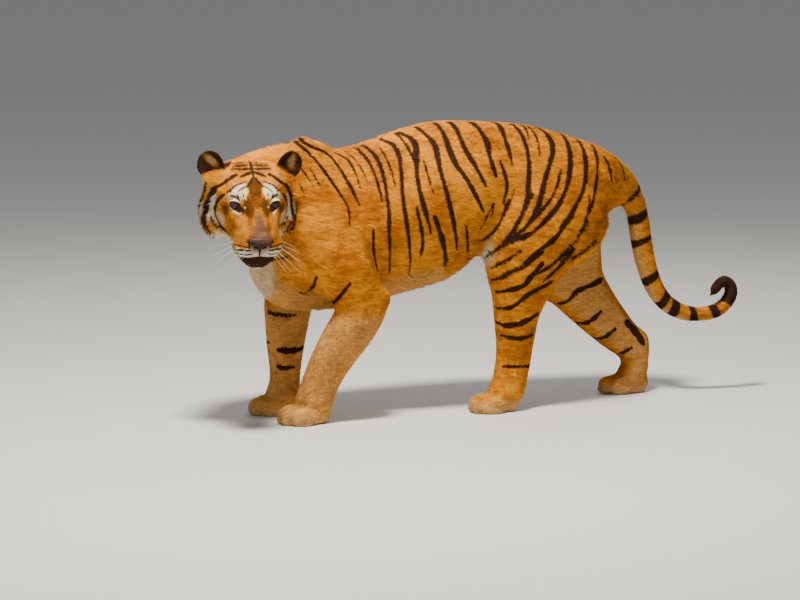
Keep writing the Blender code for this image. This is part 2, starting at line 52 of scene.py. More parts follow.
# the body's measures: the tiger walks towards -X, its left side faces -Y
body = {
    "voxel": 0.0103,          # grid of the fused skin, in the widened space round the head
    "widenReach": 0.28,       # how far from the head distances are doubled
    "smoothReach": 0.14,      # from here on, and over as much again, the skin is smoothed more
    "headCentre": (-0.04, 0, -0.02),
}
head = {
    "eyesAt": (-0.671, -0.300, 0.752), "turn": -98.7, "pitch": 24.0, "scale": 1.04,
    "eyeRadius": 0.0185, "eyeSpread": 0.0580, "eyeSet": 0.002,
    "cornea": 0.0105, "bulge": 0.0012, "middle": (-0.03, 0, -0.02),
}
headFrame = (
    Matrix.Translation(head["eyesAt"])
    @ Matrix.Rotation(math.radians(head["turn"]), 4, "Z")
    @ Matrix.Rotation(math.radians(head["pitch"]), 4, "Y")
    @ Matrix.Scale(head["scale"], 4)
)
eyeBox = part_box("eye_left")
middle = headFrame @ Vector((head["eyeSet"], head["eyeSpread"], 0)) - (eyeBox[0] + eyeBox[1]) / 2

# trunk: x, height of the widest place, half width, rise to the back, drop to the belly
trunkRows = mm((
    (-578, 590, 60, 70, 80), (-548, 585, 120, 160, 155), (-480, 590, 162, 250, 216),
    (-400, 595, 175, 290, 236), (-300, 600, 182, 292, 240), (-170, 620, 196, 298, 240),
    (-50, 645, 208, 311, 242), (80, 675, 211, 306, 238), (200, 720, 198, 258, 208),
    (330, 755, 175, 215, 180), (460, 765, 163, 184, 170), (580, 755, 151, 160, 140),
    (690, 745, 122, 132, 108), (764, 738, 74, 90, 65),
))
# neck: x, y, z, half width, rise, drop
neckRows = mm((
    (-300, 0, 700, 120, 160, 200), (-400, 0, 735, 140, 203, 225), (-500, -8, 758, 140, 162, 205),
    (-585, -45, 768, 134, 124, 190), (-632, -115, 762, 126, 101, 165), (-645, -190, 750, 112, 98, 135),
))
# tail: x, y, z, radius
tailRows = mm((
    (700, 0, 790, 62), (765, 0, 757, 56), (812, 0, 695, 46), (838, 3, 622, 40), (852, 6, 545, 37),
    (870, 8, 470, 35), (893, 8, 403, 33), (925, 6, 347, 31), (968, 2, 308, 29), (1020, -4, 285, 27),
    (1075, -10, 280, 25), (1130, -14, 288, 25), (1170, -18, 316, 24), (1188, -22, 352, 24),
    (1178, -26, 383, 23), (1151, -30, 394, 22), (1124, -34, 380, 21), (1109, -38, 352, 20),
    (1105, -42, 334, 17),
))
# limbs: x, y, z, half width across the body, reach forward, reach back
limbRows = {
    "upperArmLeft": mm((
        (-432, -62, 950, 18, 31, 26), (-424, -78, 912, 31, 56, 60), (-412, -108, 820, 46, 88, 105),
        (-402, -138, 715, 62, 115, 145), (-378, -156, 610, 74, 120, 150), (-330, -168, 520, 76, 105, 122),
        (-275, -176, 452, 70, 90, 92), (-225, -180, 405, 58, 70, 64))),
    "forearmLeft": mm((
        (-205, -180, 440, 48, 62, 50), (-235, -178, 385, 64, 90, 72), (-280, -170, 318, 66, 88, 80),
        (-325, -158, 250, 62, 80, 76), (-360, -146, 185, 58, 74, 68), (-385, -134, 125, 58, 68, 64),
        (-402, -124, 65, 62, 70, 62))),
    "upperArmRight": mm((
        (-390, 60, 905, 16, 30, 34), (-395, 78, 868, 30, 55, 65), (-400, 110, 790, 48, 90, 105),
        (-405, 138, 690, 62, 115, 135), (-405, 150, 590, 70, 115, 135), (-395, 152, 500, 70, 100, 115),
        (-385, 150, 430, 64, 85, 95), (-385, 146, 380, 55, 70, 75))),
    "forearmRight": mm((
        (-385, 146, 450, 58, 80, 80), (-395, 142, 375, 64, 88, 88), (-402, 135, 300, 60, 80, 80),
        (-408, 127, 225, 54, 72, 68), (-412, 119, 155, 50, 62, 58), (-416, 113, 105, 52, 58, 54),
        (-424, 109, 60, 60, 62, 56))),
    "thighLeft": mm((
        (520, -70, 850, 55, 140, 120), (490, -92, 770, 78, 190, 200), (455, -112, 690, 92, 220, 235),
        (410, -128, 612, 98, 215, 200), (365, -140, 540, 96, 178, 155), (340, -146, 470, 86, 142, 130),
        (330, -146, 400, 72, 110, 106), (320, -140, 335, 60, 88, 86), (316, -133, 275, 52, 78, 76))),
    "shankLeft": mm((
        (325, -140, 345, 55, 85, 85), (317, -134, 275, 50, 76, 78), (312, -128, 215, 46, 66, 77),
        (306, -124, 160, 46, 60, 75), (296, -121, 105, 50, 58, 72), (284, -120, 58, 56, 60, 66))),
    "thighRight": mm((
        (540, 70, 850, 55, 150, 120), (535, 92, 770, 78, 190, 195), (545, 112, 690, 90, 210, 215),
        (560, 126, 610, 94, 200, 208), (580, 134, 530, 90, 175, 192), (605, 136, 455, 80, 148, 172),
        (645, 134, 385, 70, 120, 142))),
    "shankRight": mm((
        (600, 136, 470, 70, 112, 122), (650, 134, 395, 67, 108, 120), (705, 130, 328, 60, 95, 104),
        (760, 126, 268, 52, 85, 90), (815, 122, 215, 46, 78, 78), (862, 119, 170, 42, 64, 64),
        (890, 118, 140, 34, 45, 40))),
    "footRight": mm((
        (914, 118, 212, 34, 36, 32), (902, 118, 170, 42, 52, 44), (895, 117, 125, 44, 52, 46),
        (884, 116, 85, 47, 54, 48), (866, 115, 50, 55, 52, 44))),
}
# paws: middle pad on the floor, yaw in degrees, width over the toes
pawPlaces = (
    ((-0.432, -0.120), 4.0, 0.150), ((-0.450, 0.108), -3.0, 0.145),
    ((0.250, -0.120), 5.0, 0.128), ((0.842, 0.114), -4.0, 0.125),
)
# head, in its own frame: x, height of the widest place, half width, rise, drop, squareness above and below
headRows = (
    (-0.245, -0.030, 0.050, 0.040, 0.060, 2.0, 2.0), (-0.210, -0.025, 0.095, 0.072, 0.095, 2.0, 2.0),
    (-0.170, -0.025, 0.126, 0.098, 0.118, 2.1, 2.1), (-0.130, -0.028, 0.143, 0.115, 0.126, 2.2, 2.2),
    (-0.092, -0.032, 0.146, 0.123, 0.126, 2.2, 2.2), (-0.058, -0.036, 0.133, 0.120, 0.122, 2.2, 2.2),
    (-0.026, -0.040, 0.112, 0.110, 0.117, 2.2, 2.2), (0.004, -0.050, 0.090, 0.104, 0.106, 2.0, 2.1),
    (0.034, -0.066, 0.080, 0.102, 0.097, 1.75, 2.2), (0.064, -0.078, 0.076, 0.100, 0.085, 1.7, 2.3),
    (0.094, -0.086, 0.072, 0.093, 0.077, 1.7, 2.4), (0.116, -0.090, 0.064, 0.080, 0.070, 1.8, 2.3),
    (0.130, -0.092, 0.050, 0.062, 0.058, 2.0, 2.2), (0.139, -0.093, 0.028, 0.040, 0.038, 2.0, 2.0),
)
# ear: height along it, half width, half thickness, how far the rims come forward
earRows = mm((
    (-30, 36, 14, 24), (-6, 44, 13, 30), (18, 49, 11, 30), (38, 48, 10, 26), (55, 40, 9, 18),
    (67, 26, 8, 8), (74, 11, 6, 2),
))


# modelling tools
def through(rows, place):   # the row at a place from 0 to 1 along a smooth curve through all rows
    rows = np.asarray(rows, float)
    along = place * (len(rows) - 1)
    first = min(int(along), len(rows) - 2)
    t = along - first
    a, b = rows[first], rows[first + 1]
    before = rows[first - 1] if first else 2 * a - b
    after = rows[first + 2] if first + 2 < len(rows) else 2 * b - a
    return 0.5 * (
        2 * a + (b - before) * t + (2 * before - 5 * a + 4 * b - after) * t**2
        + (3 * a - before - 3 * b + after) * t**3
    )


def headingAt(rows, place, step=0.02):   # which way a table runs at a place along it
    return Vector((through(rows, min(place + step, 1.0)) - through(rows, max(place - step, 0.0)))[:3])


def section(rows, place, frameOf, step=0.02):   # centre, side, up and sizes at a place along a table
    return frameOf(through(rows, place), headingAt(rows, place, step))


def rimPoint(parts, angle):   # the point at an angle round a section
    centre, side, up, wide, rise, drop, *corners = parts
    tall = math.sin(angle)
    return centre + side * (wide * math.cos(angle)) + up * ((rise if tall > 0 else drop) * tall)


def grid(bm, along, around):   # a flat grid, from -1 to 1 both ways
    return bmesh.ops.create_grid(bm, x_segments=along, y_segments=around, size=1.0)["verts"]


def closed(bm, verts):   # joins a rolled grid along its seam and caps its ends
    bmesh.ops.remove_doubles(bm, verts=verts, dist=1e-5)
    bmesh.ops.holes_fill(bm, edges=[e for e in bm.edges if e.is_boundary])


def tube(bm, rows, frameOf, around=28, fineness=4):   # a grid rolled into a closed tube
    lengths = (len(rows) - 1) * fineness
    made = grid(bm, lengths, around)
    for vert in made:
        angle = (vert.co.y + 1) * math.pi
        centre, side, up, wide, rise, drop, *corners = section(
            rows, (vert.co.x + 1) / 2, frameOf, 0.5 / lengths)
        square = (corners or (2.2, 2.2))[0 if math.sin(angle) > 0 else 1]
        across, above = (
            math.copysign(abs(v) ** (2 / square), v) for v in (math.cos(angle), math.sin(angle)))
        vert.co = centre + side * (wide * across) + up * ((rise if above > 0 else drop) * above)
    closed(bm, made)


def uprightFrame(row, heading):
    x, z, *sizes = row
    return Vector((x, 0, z)), Vector((0, 1, 0)), Vector((0, 0, 1)), *sizes


def crestFrame(row, heading):   # for the neck: up stays as near the vertical as the path allows
    x, y, z, wide, rise, drop = row
    heading = heading.normalized()
    side = heading.cross(Vector((0, 0, 1))).normalized()
    return Vector((x, y, z)), side, side.cross(heading).normalized(), wide, rise, drop


def tailFrame(row, heading):
    x, y, z, radius = row
    side = Vector((0, 1, 0))
    return Vector((x, y, z)), side, side.cross(heading).normalized(), radius, radius, radius


def limbFrame(row, heading):   # side is across the body, up is the way the limb faces
    x, y, z, wide, front, back = row
    ahead = heading.normalized().cross(Vector((0, 1, 0))).normalized()
    if ahead.x > 0:
        ahead.negate()
    return Vector((x, y, z)), Vector((0, 1, 0)), ahead, wide, front, back


def blob(bm, centre, radii, turn=(0, 0, 0), within=None):   # an ellipsoid, turned in degrees
    place = Matrix.Translation(centre)
    for angle, axis in zip(turn, "XYZ"):
        place = place @ Matrix.Rotation(math.radians(angle), 4, axis)
    place = place @ Matrix.Diagonal((*radii, 1))
    bmesh.ops.create_icosphere(bm, subdivisions=3, radius=1, matrix=(within or Matrix()) @ place)


def linked(name, data):   # a new object in the scene
    made = bpy.data.objects.new(name, data)
    bpy.context.collection.objects.link(made)
    return made


def meshObject(name, bm):
    mesh = bpy.data.meshes.new(name)
    bmesh.ops.recalc_face_normals(bm, faces=bm.faces)
    bm.to_mesh(mesh)
    bm.free()
    return linked(name, mesh)


def smoothed(mesh):
    mesh.polygons.foreach_set("use_smooth", np.ones(len(mesh.polygons), bool))


def colourLayer(mesh, name, colours):
    layer = mesh.attributes.new(name, "FLOAT_COLOR", "POINT")
    layer.data.foreach_set("color", np.asarray(colours, np.float32).ravel())


def settled(obj):   # applies the object's modifiers
    graph = bpy.context.evaluated_depsgraph_get()
    mesh = bpy.data.meshes.new_from_object(obj.evaluated_get(graph))
    obj.modifiers.clear()
    obj.data = mesh
    return obj


def pointsOf(mesh, what="co"):
    values = np.empty(len(mesh.vertices) * 3)
    mesh.vertices.foreach_get(what, values)
    return values.reshape(-1, 3)


def movePoints(mesh, points):
    mesh.vertices.foreach_set("co", points.ravel())
    mesh.update()


def widen(mesh, centre, reach, inward=False):   # doubles distances near a centre, for a finer grid there
    away = pointsOf(mesh) - np.array(centre)
    far = np.maximum(np.linalg.norm(away, axis=1, keepdims=True), 1e-9)
    if inward:
        near = np.where(far < 2 * reach, far / 2, far - reach)
    else:
        near = np.where(far < reach, far * 2, far + reach)
    movePoints(mesh, away / far * near + np.array(centre))


def ramp(value, start, end):   # a smooth step from 0 at start to 1 at end
    t = np.clip((value - start) / (end - start), 0, 1)
    return t * t * (3 - 2 * t)


def unit(vectors):
    return vectors / np.maximum(np.linalg.norm(vectors, axis=-1, keepdims=True), 1e-9)


def moved(points, matrix):
    matrix = np.array(matrix)
    return points @ matrix[:3, :3].T + matrix[:3, 3]


def toHead(points):   # body points in the head's own frame
    return moved(points, headFrame.inverted())


# the fused body, before the coat's depth is taken off it
def addPaw(bm, at, yaw, width):   # broad pad, four toes in an arc, all a little below the floor line
    place = Matrix.Translation((*at, 0)) @ Matrix.Rotation(math.radians(yaw), 4, "Z")
    half = width / 2
    blob(bm, (0.030, 0, 0.036), (0.062, half * 0.82, 0.046), within=place)
    blob(bm, (0.000, 0, 0.030), (0.058, half * 0.90, 0.042), within=place)
    for share, reach in ((-0.72, -0.030), (-0.25, -0.056), (0.25, -0.056), (0.72, -0.030)):
        blob(bm, (reach, share * half, 0.028), (0.042, half * 0.285, 0.034), (0, 8, share * 14), place)
        blob(bm, (reach - 0.016, share * half * 1.02, 0.020), (0.026, half * 0.235, 0.024),
             (0, 0, share * 14), place)


earTurns = {-1: (-22, 24, -12), 1: (8, -42, -12)}   # turned outward, tilted to its side, leant back


def earPlace(side):
    at = Matrix.Translation((-0.112, side * 0.112, 0.050))
    for angle, axis in zip(earTurns[side], "ZXY"):
        at = at @ Matrix.Rotation(math.radians(angle), 4, axis)
    return at


def addEar(bm, side):   # a round cupped ear, its hollow facing forward and a little outward
    at = earPlace(side)
    made = grid(bm, 30, 28)
    for vert in made:
        height, half, thick, cup = through(earRows, (vert.co.x + 1) / 2)
        angle = (vert.co.y + 1) * math.pi
        across, deep = (math.copysign(abs(v) ** 0.75, v) for v in (math.cos(angle), math.sin(angle)))
        vert.co = at @ Vector((cup * across**2 - cup * 0.6 + deep * thick, across * half, height))
    closed(bm, made)


def addHead(bm):
    tube(bm, headRows, uprightFrame, around=36)
    for side in (-1, 1):
        addEar(bm, side)
        blob(bm, (-0.104, side * 0.097, -0.080), (0.070, 0.060, 0.094), (0, -10, side * 8))   # ruff
        blob(bm, (-0.030, side * 0.088, -0.030), (0.046, 0.024, 0.028), (0, -8, -side * 34))  # cheekbone
        blob(bm, (-0.014, side * 0.075, 0.002), (0.022, 0.020, 0.028), (0, 0, -side * 30))    # outer rim
        blob(bm, (-0.018, side * 0.054, 0.030), (0.028, 0.030, 0.016), (0, 34, side * 10))    # brow
        blob(bm, (0.090, side * 0.041, -0.094), (0.046, 0.041, 0.036), (0, 6, side * 10))     # whisker pad
        blob(bm, (0.116, side * 0.025, -0.096), (0.028, 0.028, 0.028))
    blob(bm, (0.128, 0, -0.052), (0.020, 0.036, 0.024), (0, 30, 0))   # under the nose pad
    blob(bm, (0.100, 0, -0.146), (0.036, 0.042, 0.028), (0, 4, 0))    # chin


def addBody(bm):
    tube(bm, trunkRows, uprightFrame)
    tube(bm, neckRows, crestFrame)
    tube(bm, tailRows, tailFrame, around=18)
    for rows in limbRows.values():
        tube(bm, rows, limbFrame)
    for place in pawPlaces:
        addPaw(bm, *place)
    blob(bm, (-0.178, -0.180, 0.412), (0.032, 0.042, 0.040))              # left elbow
    blob(bm, (-0.300, 0.150, 0.440), (0.040, 0.040, 0.045))               # right elbow
    blob(bm, (0.372, -0.130, 0.262), (0.026, 0.034, 0.045))               # left heel
    blob(bm, (0.906, 0.118, 0.186), (0.034, 0.036, 0.042))                # right heel
    blob(bm, (0.040, 0.000, 0.552), (0.200, 0.165, 0.128), (0, -17, 0))   # belly
    blob(bm, (0.215, -0.110, 0.600), (0.060, 0.060, 0.070))               # flank fold
    blob(bm, (-0.470, 0.000, 0.500), (0.090, 0.120, 0.110))               # breast
    blob(bm, (-0.520, -0.070, 0.700), (0.110, 0.090, 0.160), (0, 20, 0))  # side of the neck


def fusedBody():
    headMesh = bmesh.new()
    addHead(headMesh)
    bmesh.ops.transform(headMesh, matrix=headFrame, verts=headMesh.verts)
    spare = bpy.data.meshes.new("spare")
    headMesh.to_mesh(spare)
    headMesh.free()
    bm = bmesh.new()
    addBody(bm)
    bm.from_mesh(spare)
    fused = meshObject("skin", bm)
    centre = headFrame @ Vector(body["headCentre"])
    widen(fused.data, centre, body["widenReach"])
    remesh = fused.modifiers.new("fuse", "REMESH")
    remesh.mode = "VOXEL"
    remesh.voxel_size = body["voxel"]
    settled(fused)
    widen(fused.data, centre, body["widenReach"], inward=True)
    points = pointsOf(fused.data)
    far = np.linalg.norm(points - np.array(centre), axis=1)
    weights = np.clip((far - body["smoothReach"]) / body["smoothReach"], 0, 1) * (points[:, 2] > 0.09)
    away = fused.vertex_groups.new(name="away")
    for index in np.flatnonzero(weights > 0):
        away.add([int(index)], float(weights[index]), "REPLACE")
    for factor, times, group in ((0.5, 6, ""), (0.6, 40, "away")):
        smooth = fused.modifiers.new("smooth", "SMOOTH")
        smooth.factor = factor
        smooth.iterations = times
        smooth.vertex_group = group
    settled(fused)
    fused.vertex_groups.clear()
    return fused


# how the coat lies: guides on the surface, each with a direction and the hair's sizes there
# length, half width and lift of a tuft, depth of the coat over the skin, tufts per square centimetre
coatKinds = {
    "back": (0.016, 0.0012, 0.0034, 0.0055, 7.5), "flank": (0.016, 0.0012, 0.0034, 0.0055, 7.5),
    "belly": (0.028, 0.0014, 0.0090, 0.011, 6.5), "breast": (0.028, 0.0014, 0.0085, 0.010, 6.5),
    "limb": (0.013, 0.0011, 0.0028, 0.0045, 8.5), "paw": (0.009, 0.0010, 0.0020, 0.0035, 12),
    "tail": (0.015, 0.0012, 0.0040, 0.005, 9), "neck": (0.021, 0.0013, 0.0056, 0.009, 7.5),
    "bridge": (0.0060, 0.0007, 0.0010, 0.0025, 30), "face": (0.0085, 0.0009, 0.0018, 0.0035, 26),
    "cheek": (0.015, 0.0010, 0.0036, 0.006, 18), "ruff": (0.027, 0.0012, 0.0075, 0.011, 13),
    "crown": (0.012, 0.0012, 0.0030, 0.005, 16), "pad": (0.0070, 0.0008, 0.0014, 0.0025, 28),
    "chin": (0.016, 0.0011, 0.0050, 0.006, 18), "ear": (0.010, 0.0009, 0.0022, 0.0022, 24),
}
# how hair lies on the head, by kind, in its own frame: x, y and z, the way it lies and the
# guide's reach, all in millimetres
headLie = {
    "bridge": ((110, 0, -5, -80, 0, 60, 40), (60, 12, 30, -80, 15, 60, 36),
        (100, 42, -35, -90, 35, 5, 34)),
    "face": ((20, 10, 55, -75, 15, 62, 34), (62, 50, -12, -70, 62, -10, 30), (2, 60, 34, -60, 45, 62, 30),
        (-28, 20, 70, -80, 15, 55, 36), (-30, 64, 60, -72, 45, 45, 36), (40, 70, -45, -62, 60, -35, 34),
        (-2, 92, 4, -80, 55, -5, 30)),
    "crown": ((-60, 0, 86, -95, 0, 20, 45), (-80, 60, 80, -92, 25, 15, 45), (-130, 0, 85, -100, 0, 0, 55),
        (-150, 70, 60, -95, 25, -10, 50)),
    "neck": ((-210, 0, 45, -100, 0, -30, 60), (-210, 80, 0, -90, 30, -35, 60)),
    "cheek": ((-50, 100, 45, -75, 60, 15, 34), (-20, 108, -35, -75, 50, -38, 34),
        (5, 92, -80, -70, 50, -50, 34), (40, 82, -110, -75, 40, -50, 30)),
    "ruff": ((-60, 132, -10, -65, 27, -60, 40), (-70, 145, -60, -55, 25, -80, 44),
        (-55, 128, -110, -47, 20, -95, 44), (-30, 85, -140, -55, 14, -95, 44),
        (-120, 155, -50, -75, 20, -70, 50), (-120, 130, -130, -65, 14, -90, 50)),
    "pad": ((132, 26, -80, -25, 92, -25, 26), (112, 58, -90, -80, 58, -22, 30),
        (75, 74, -85, -88, 42, -25, 30), (138, 0, -100, -10, 30, -95, 18)),
    "chin": ((128, 0, -135, -20, 0, -100, 24), (105, 42, -135, -60, 35, -72, 28),
        (85, 0, -165, -95, 0, -30, 34)),
    "breast": ((20, 0, -158, -100, 0, -25, 50),),
}


def guideRows():
    rows = []

    def add(point, way, kind, reach):
        rows.append((*point, *way, reach, *coatKinds[kind]))

    for place in np.linspace(0.05, 0.98, 14):
        parts = section(trunkRows, place, uprightFrame)
        for angle in math.pi / 2 + np.arange(10) * math.tau / 10:
            tall = math.sin(angle)
            kind = "back" if tall > 0.3 else "flank" if tall > -0.7 else "belly"
            add(rimPoint(parts, angle), (1.0, 0.0, -0.45 if abs(tall) < 0.9 else 0.0), kind, 0.11)
    for place in np.linspace(0.25, 1.0, 6):
        parts = section(neckRows, place, crestFrame)
        back = parts[0] - Vector(through(neckRows, min(place + 0.05, 1))[:3])
        if back.length < 1e-4:
            back = Vector(through(neckRows, 0.95)[:3]) - parts[0]
        for angle in math.pi / 2 + np.arange(8) * math.tau / 8:
            kind = "neck" if math.sin(angle) > -0.5 else "breast"
            add(rimPoint(parts, angle), back.normalized() + Vector((0, 0, -0.5)), kind, 0.09)
    for y, z in ((-0.08, 0.60), (0.08, 0.60), (0, 0.52), (0, 0.68), (-0.08, 0.45), (0.08, 0.45)):
        add((-0.565, y, z), (0.1, 0, -1), "breast", 0.09)
    for place in np.linspace(0.08, 1.0, 30):
        add(section(tailRows, place, tailFrame)[0], headingAt(tailRows, place).normalized(), "tail", 0.050)
    for name, limb in limbRows.items():
        for place in np.linspace(0.0, 1.0, 9):
            parts = section(limb, place, limbFrame)
            if parts[0].z > 0.72 or (name.startswith("upper") and parts[0].z > 0.62):
                continue
            down = headingAt(limb, place, 0.04).normalized() + Vector((0.15, 0, 0))
            kind = "limb" if parts[0].z > 0.09 else "paw"
            for quarter in range(4):
                add(rimPoint(parts, quarter * math.pi / 2), down, kind, 0.06)
    for (x, y), *_ in pawPlaces:
        for dx, dy in ((-0.075, 0.03), (-0.075, -0.03), (-0.03, 0.055), (-0.03, -0.055), (0.05, 0.0)):
            add((x + dx, y + dy, 0.030), (-0.8, 0, -0.5), "paw", 0.045)
    for kind, lies in headLie.items():
        for x, y, z, dx, dy, dz, reach in mm(lies):
            for side in ((1, -1) if y else (1,)):
                way = headFrame.to_3x3() @ Vector((dx, dy * side, dz))
                add(headFrame @ Vector((x, y * side, z)), way.normalized(), kind, reach)
    for side in (-1, 1):
        at = headFrame @ earPlace(side)
        for height, across in mm(((20, -30), (20, 30), (20, 0), (55, -20), (55, 20), (70, 0))):
            way = at.to_3x3() @ Vector((0, across * 12, 1))
            add(at @ Vector((0, across, height)), way.normalized(), "ear", 0.024)
    return np.array(rows)


guides = guideRows()
chunk = 20000   # points worked on at a time


def coatAt(points):   # the guides blended at each point: direction, length, half width, lift, depth, density
    blended = np.empty((len(points), 8))
    for start in range(0, len(points), chunk):
        part = points[start:start + chunk]
        away = part[:, None, :] - guides[None, :, :3]
        share = (away**2).sum(2) / guides[None, :, 6]**2
        share = np.exp(-3 * (share - share.min(1, keepdims=True)))
        share /= share.sum(1, keepdims=True)
        blended[start:start + chunk, :3] = share @ guides[:, 3:6]
        blended[start:start + chunk, 3:] = share @ guides[:, 7:12]
    return blended


def along(ways, normals):   # directions laid into the surface
    flat = ways - normals * (ways * normals).sum(1, keepdims=True)
    return unit(flat)


# the skin: fused, taken in by the coat's depth, then finished with soft brushes
# brushes in the head's frame: centre, reach on the three axes, how far the surface moves, and which way
faceBrushes = (
    ((0.022, 0.058, 0.000), (0.060, 0.026, 0.022), -0.010, (1, 0, 0)),     # eye socket
    ((0.004, 0.052, 0.030), (0.030, 0.032, 0.014), 0.0035, (0.6, 0, 0.8)), # brow ridge
    ((0.060, 0.057, -0.030), (0.030, 0.024, 0.016), 0.003, (0.6, 0.8, 0)), # cheek under the eye
    ((0.070, 0.036, 0.008), (0.040, 0.014, 0.020), -0.003, (0, 1, 0.3)),   # side of the bridge
    ((0.122, 0.036, -0.093), (0.034, 0.028, 0.018), 0.005, (0.8, 0.6, 0)), # whisker pad
    ((0.030, 0.086, -0.070), (0.040, 0.020, 0.030), -0.004, (0, 1, 0)),    # behind the whisker pad
)
faceGrooves = (   # polylines in the head's frame: half width, depth, points
    (0.0045, 0.007, ((0.142, 0.000, -0.112), (0.136, 0.028, -0.117), (0.116, 0.052, -0.121),
                     (0.080, 0.066, -0.122), (0.040, 0.074, -0.116))),       # mouth
    (0.0030, 0.004, ((0.146, 0.000, -0.074), (0.144, 0.000, -0.112))),       # under the nose
)


def distanceTo(points, line, thick=None):   # how far points are from a line, and their place along it, 0 to 1
    line = np.asarray(line, float)
    thick = np.zeros(len(line)) if thick is None else thick
    best = np.full(len(points), 9.0)
    place = np.zeros(len(points))
    for i in range(len(line) - 1):
        a, step = line[i], line[i + 1] - line[i]
        t = np.clip(((points - a) @ step) / max(step @ step, 1e-12), 0, 1)
        half = thick[i] + (thick[i + 1] - thick[i]) * t
        far = np.linalg.norm(points - a - t[:, None] * step, axis=1) - half
        closer = far < best
        best[closer] = far[closer]
        place[closer] = (i + t[closer]) / (len(line) - 1)
    return best, place


def smoothLine(points, count):   # a smooth curve through a few points
    return np.array([through(points, t) for t in np.linspace(0, 1, count)])


def refined(skin):   # a finer net on the face, finest round the eyes and nose
    bm = bmesh.new()
    bm.from_mesh(skin.data)
    for zones in (
        (((0.04, 0, -0.03), (0.135, 0.125, 0.125)),),
        (((0.018, 0.058, 0.0), (0.030, 0.030, 0.024)), ((0.018, -0.058, 0.0), (0.030, 0.030, 0.024)),
         ((0.135, 0, -0.085), (0.030, 0.070, 0.050))),
    ):
        points = toHead(np.array([v.co for v in bm.verts]))
        inside = np.zeros(len(points), bool)
        for centre, reach in zones:
            inside |= (((points - centre) / reach)**2).sum(1) < 1
        bm.verts.ensure_lookup_table()
        chosen = [e for e in bm.edges if inside[e.verts[0].index] and inside[e.verts[1].index]]
        bmesh.ops.subdivide_edges(bm, edges=chosen, cuts=1, use_grid_fill=True, smooth=0.0)
        bm.verts.index_update()
    bmesh.ops.triangulate(bm, faces=bm.faces)
    bm.to_mesh(skin.data)
    bm.free()


def brushed(points, normals):   # the face's folds, pads and hollows
    local = toHead(points)
    near = np.flatnonzero(((local - (0.02, 0, -0.03))**2).sum(1) < 0.2**2)
    part = local[near]
    turned = unit(normals[near] @ np.array(headFrame)[:3, :3])
    for centre, reach, amount, way in faceBrushes:
        for side in (1, -1):
            mid = np.array(centre) * (1, side, 1)
            fall = (((part - mid) / reach)**2).sum(1)
            push = amount * np.exp(-1.6 * fall**1.5)[:, None]
            part = part + push * unit(np.array(way) * (1, side, 1))
    for width, depth, line in faceGrooves:
        for side in (1, -1):
            path = smoothLine(np.array(line) * (1, side, 1), 14)
            far, place = distanceTo(part, path)
            fade = 1 - ramp(place, 0.75, 1.0)
            part = part - turned * (depth / (2 if line[0][1] == line[-1][1] else 1)
                                    * fade * np.exp(-(far / width)**2))[:, None]
    points = points.copy()
    points[near] = moved(part, headFrame)
    return points


tailCoat = 0.0035   # depth of the coat over the tail's skin


def tailFilled(points):   # the tail at its full thickness, with a blunt end
    rows = [section(tailRows, place, tailFrame) for place in np.linspace(0.10, 1.0, 120)]
    line, radius = np.array([row[0] for row in rows]), np.array([row[3] for row in rows])
    near = np.flatnonzero((points[:, 0] > 0.79) & (np.abs(points[:, 1]) < 0.09) & (points[:, 2] > 0.215))
    far, place = distanceTo(points[near], line)
    near, far, place = near[far < 0.06], far[far < 0.06], place[far < 0.06]
    steps = np.linspace(0, 1, len(line))
    foot = np.stack([np.interp(place, steps, line[:, axis]) for axis in range(3)], axis=1)
    share = np.clip((np.interp(place, steps, radius) - tailCoat) / far - 1, -0.5, 1.2)
    points = points.copy()
    points[near] += (points[near] - foot) * (ramp(place, 0.02, 0.16) * share)[:, None]
    return points


skin = fusedBody()
refined(skin)
skinPoints = pointsOf(skin.data)
skinNormals = pointsOf(skin.data, "normal")
coat = coatAt(skinPoints)
depth = coat[:, 6] * ramp(skinPoints[:, 2], -0.001, 0.030)
skinPoints = skinPoints - skinNormals * depth[:, None]
skinPoints = brushed(skinPoints, skinNormals)
skinPoints = tailFilled(skinPoints)
skinPoints[:, 2] = np.maximum(skinPoints[:, 2], 0.0)
movePoints(skin.data, skinPoints)
smoothed(skin.data)
print("skin", len(skin.data.polygons), "triangles")

bpy.context.view_layer.objects.active = skin
skin.select_set(True)
bpy.ops.object.mode_set(mode="EDIT")
bpy.ops.mesh.select_all(action="SELECT")
bpy.ops.uv.smart_project(angle_limit=math.radians(66), island_margin=0.001)
bpy.ops.object.mode_set(mode="OBJECT")
skin.data.uv_layers[0].name = "OFBake"
print("skin unwrapped")

skinTree = BVHTree.FromPolygons(
    [tuple(p) for p in skinPoints], [tuple(p.vertices) for p in skin.data.polygons])
skinNormals = pointsOf(skin.data, "normal")


def snapped(point):   # the nearest place on the skin
    return np.array(skinTree.find_nearest(Vector(point))[0])


eyeOpening = {"half": 0.0166, "tall": 0.0116, "tilt": 11.0, "outward": 5.0, "rim": 0.0025, "lift": 0.0022,
              "aside": 0.0024}


def eyeFrame(side):   # x looks out of the eye, y runs to its outer corner
    return (
        headFrame @ Matrix.Translation((head["eyeSet"], side * head["eyeSpread"], 0))
        @ Matrix.Rotation(math.radians(side * eyeOpening["outward"]), 4, "Z")
        @ Matrix.Rotation(math.radians(side * eyeOpening["tilt"]), 4, "X")
        @ Matrix.Diagonal((1, side, 1, 1)))


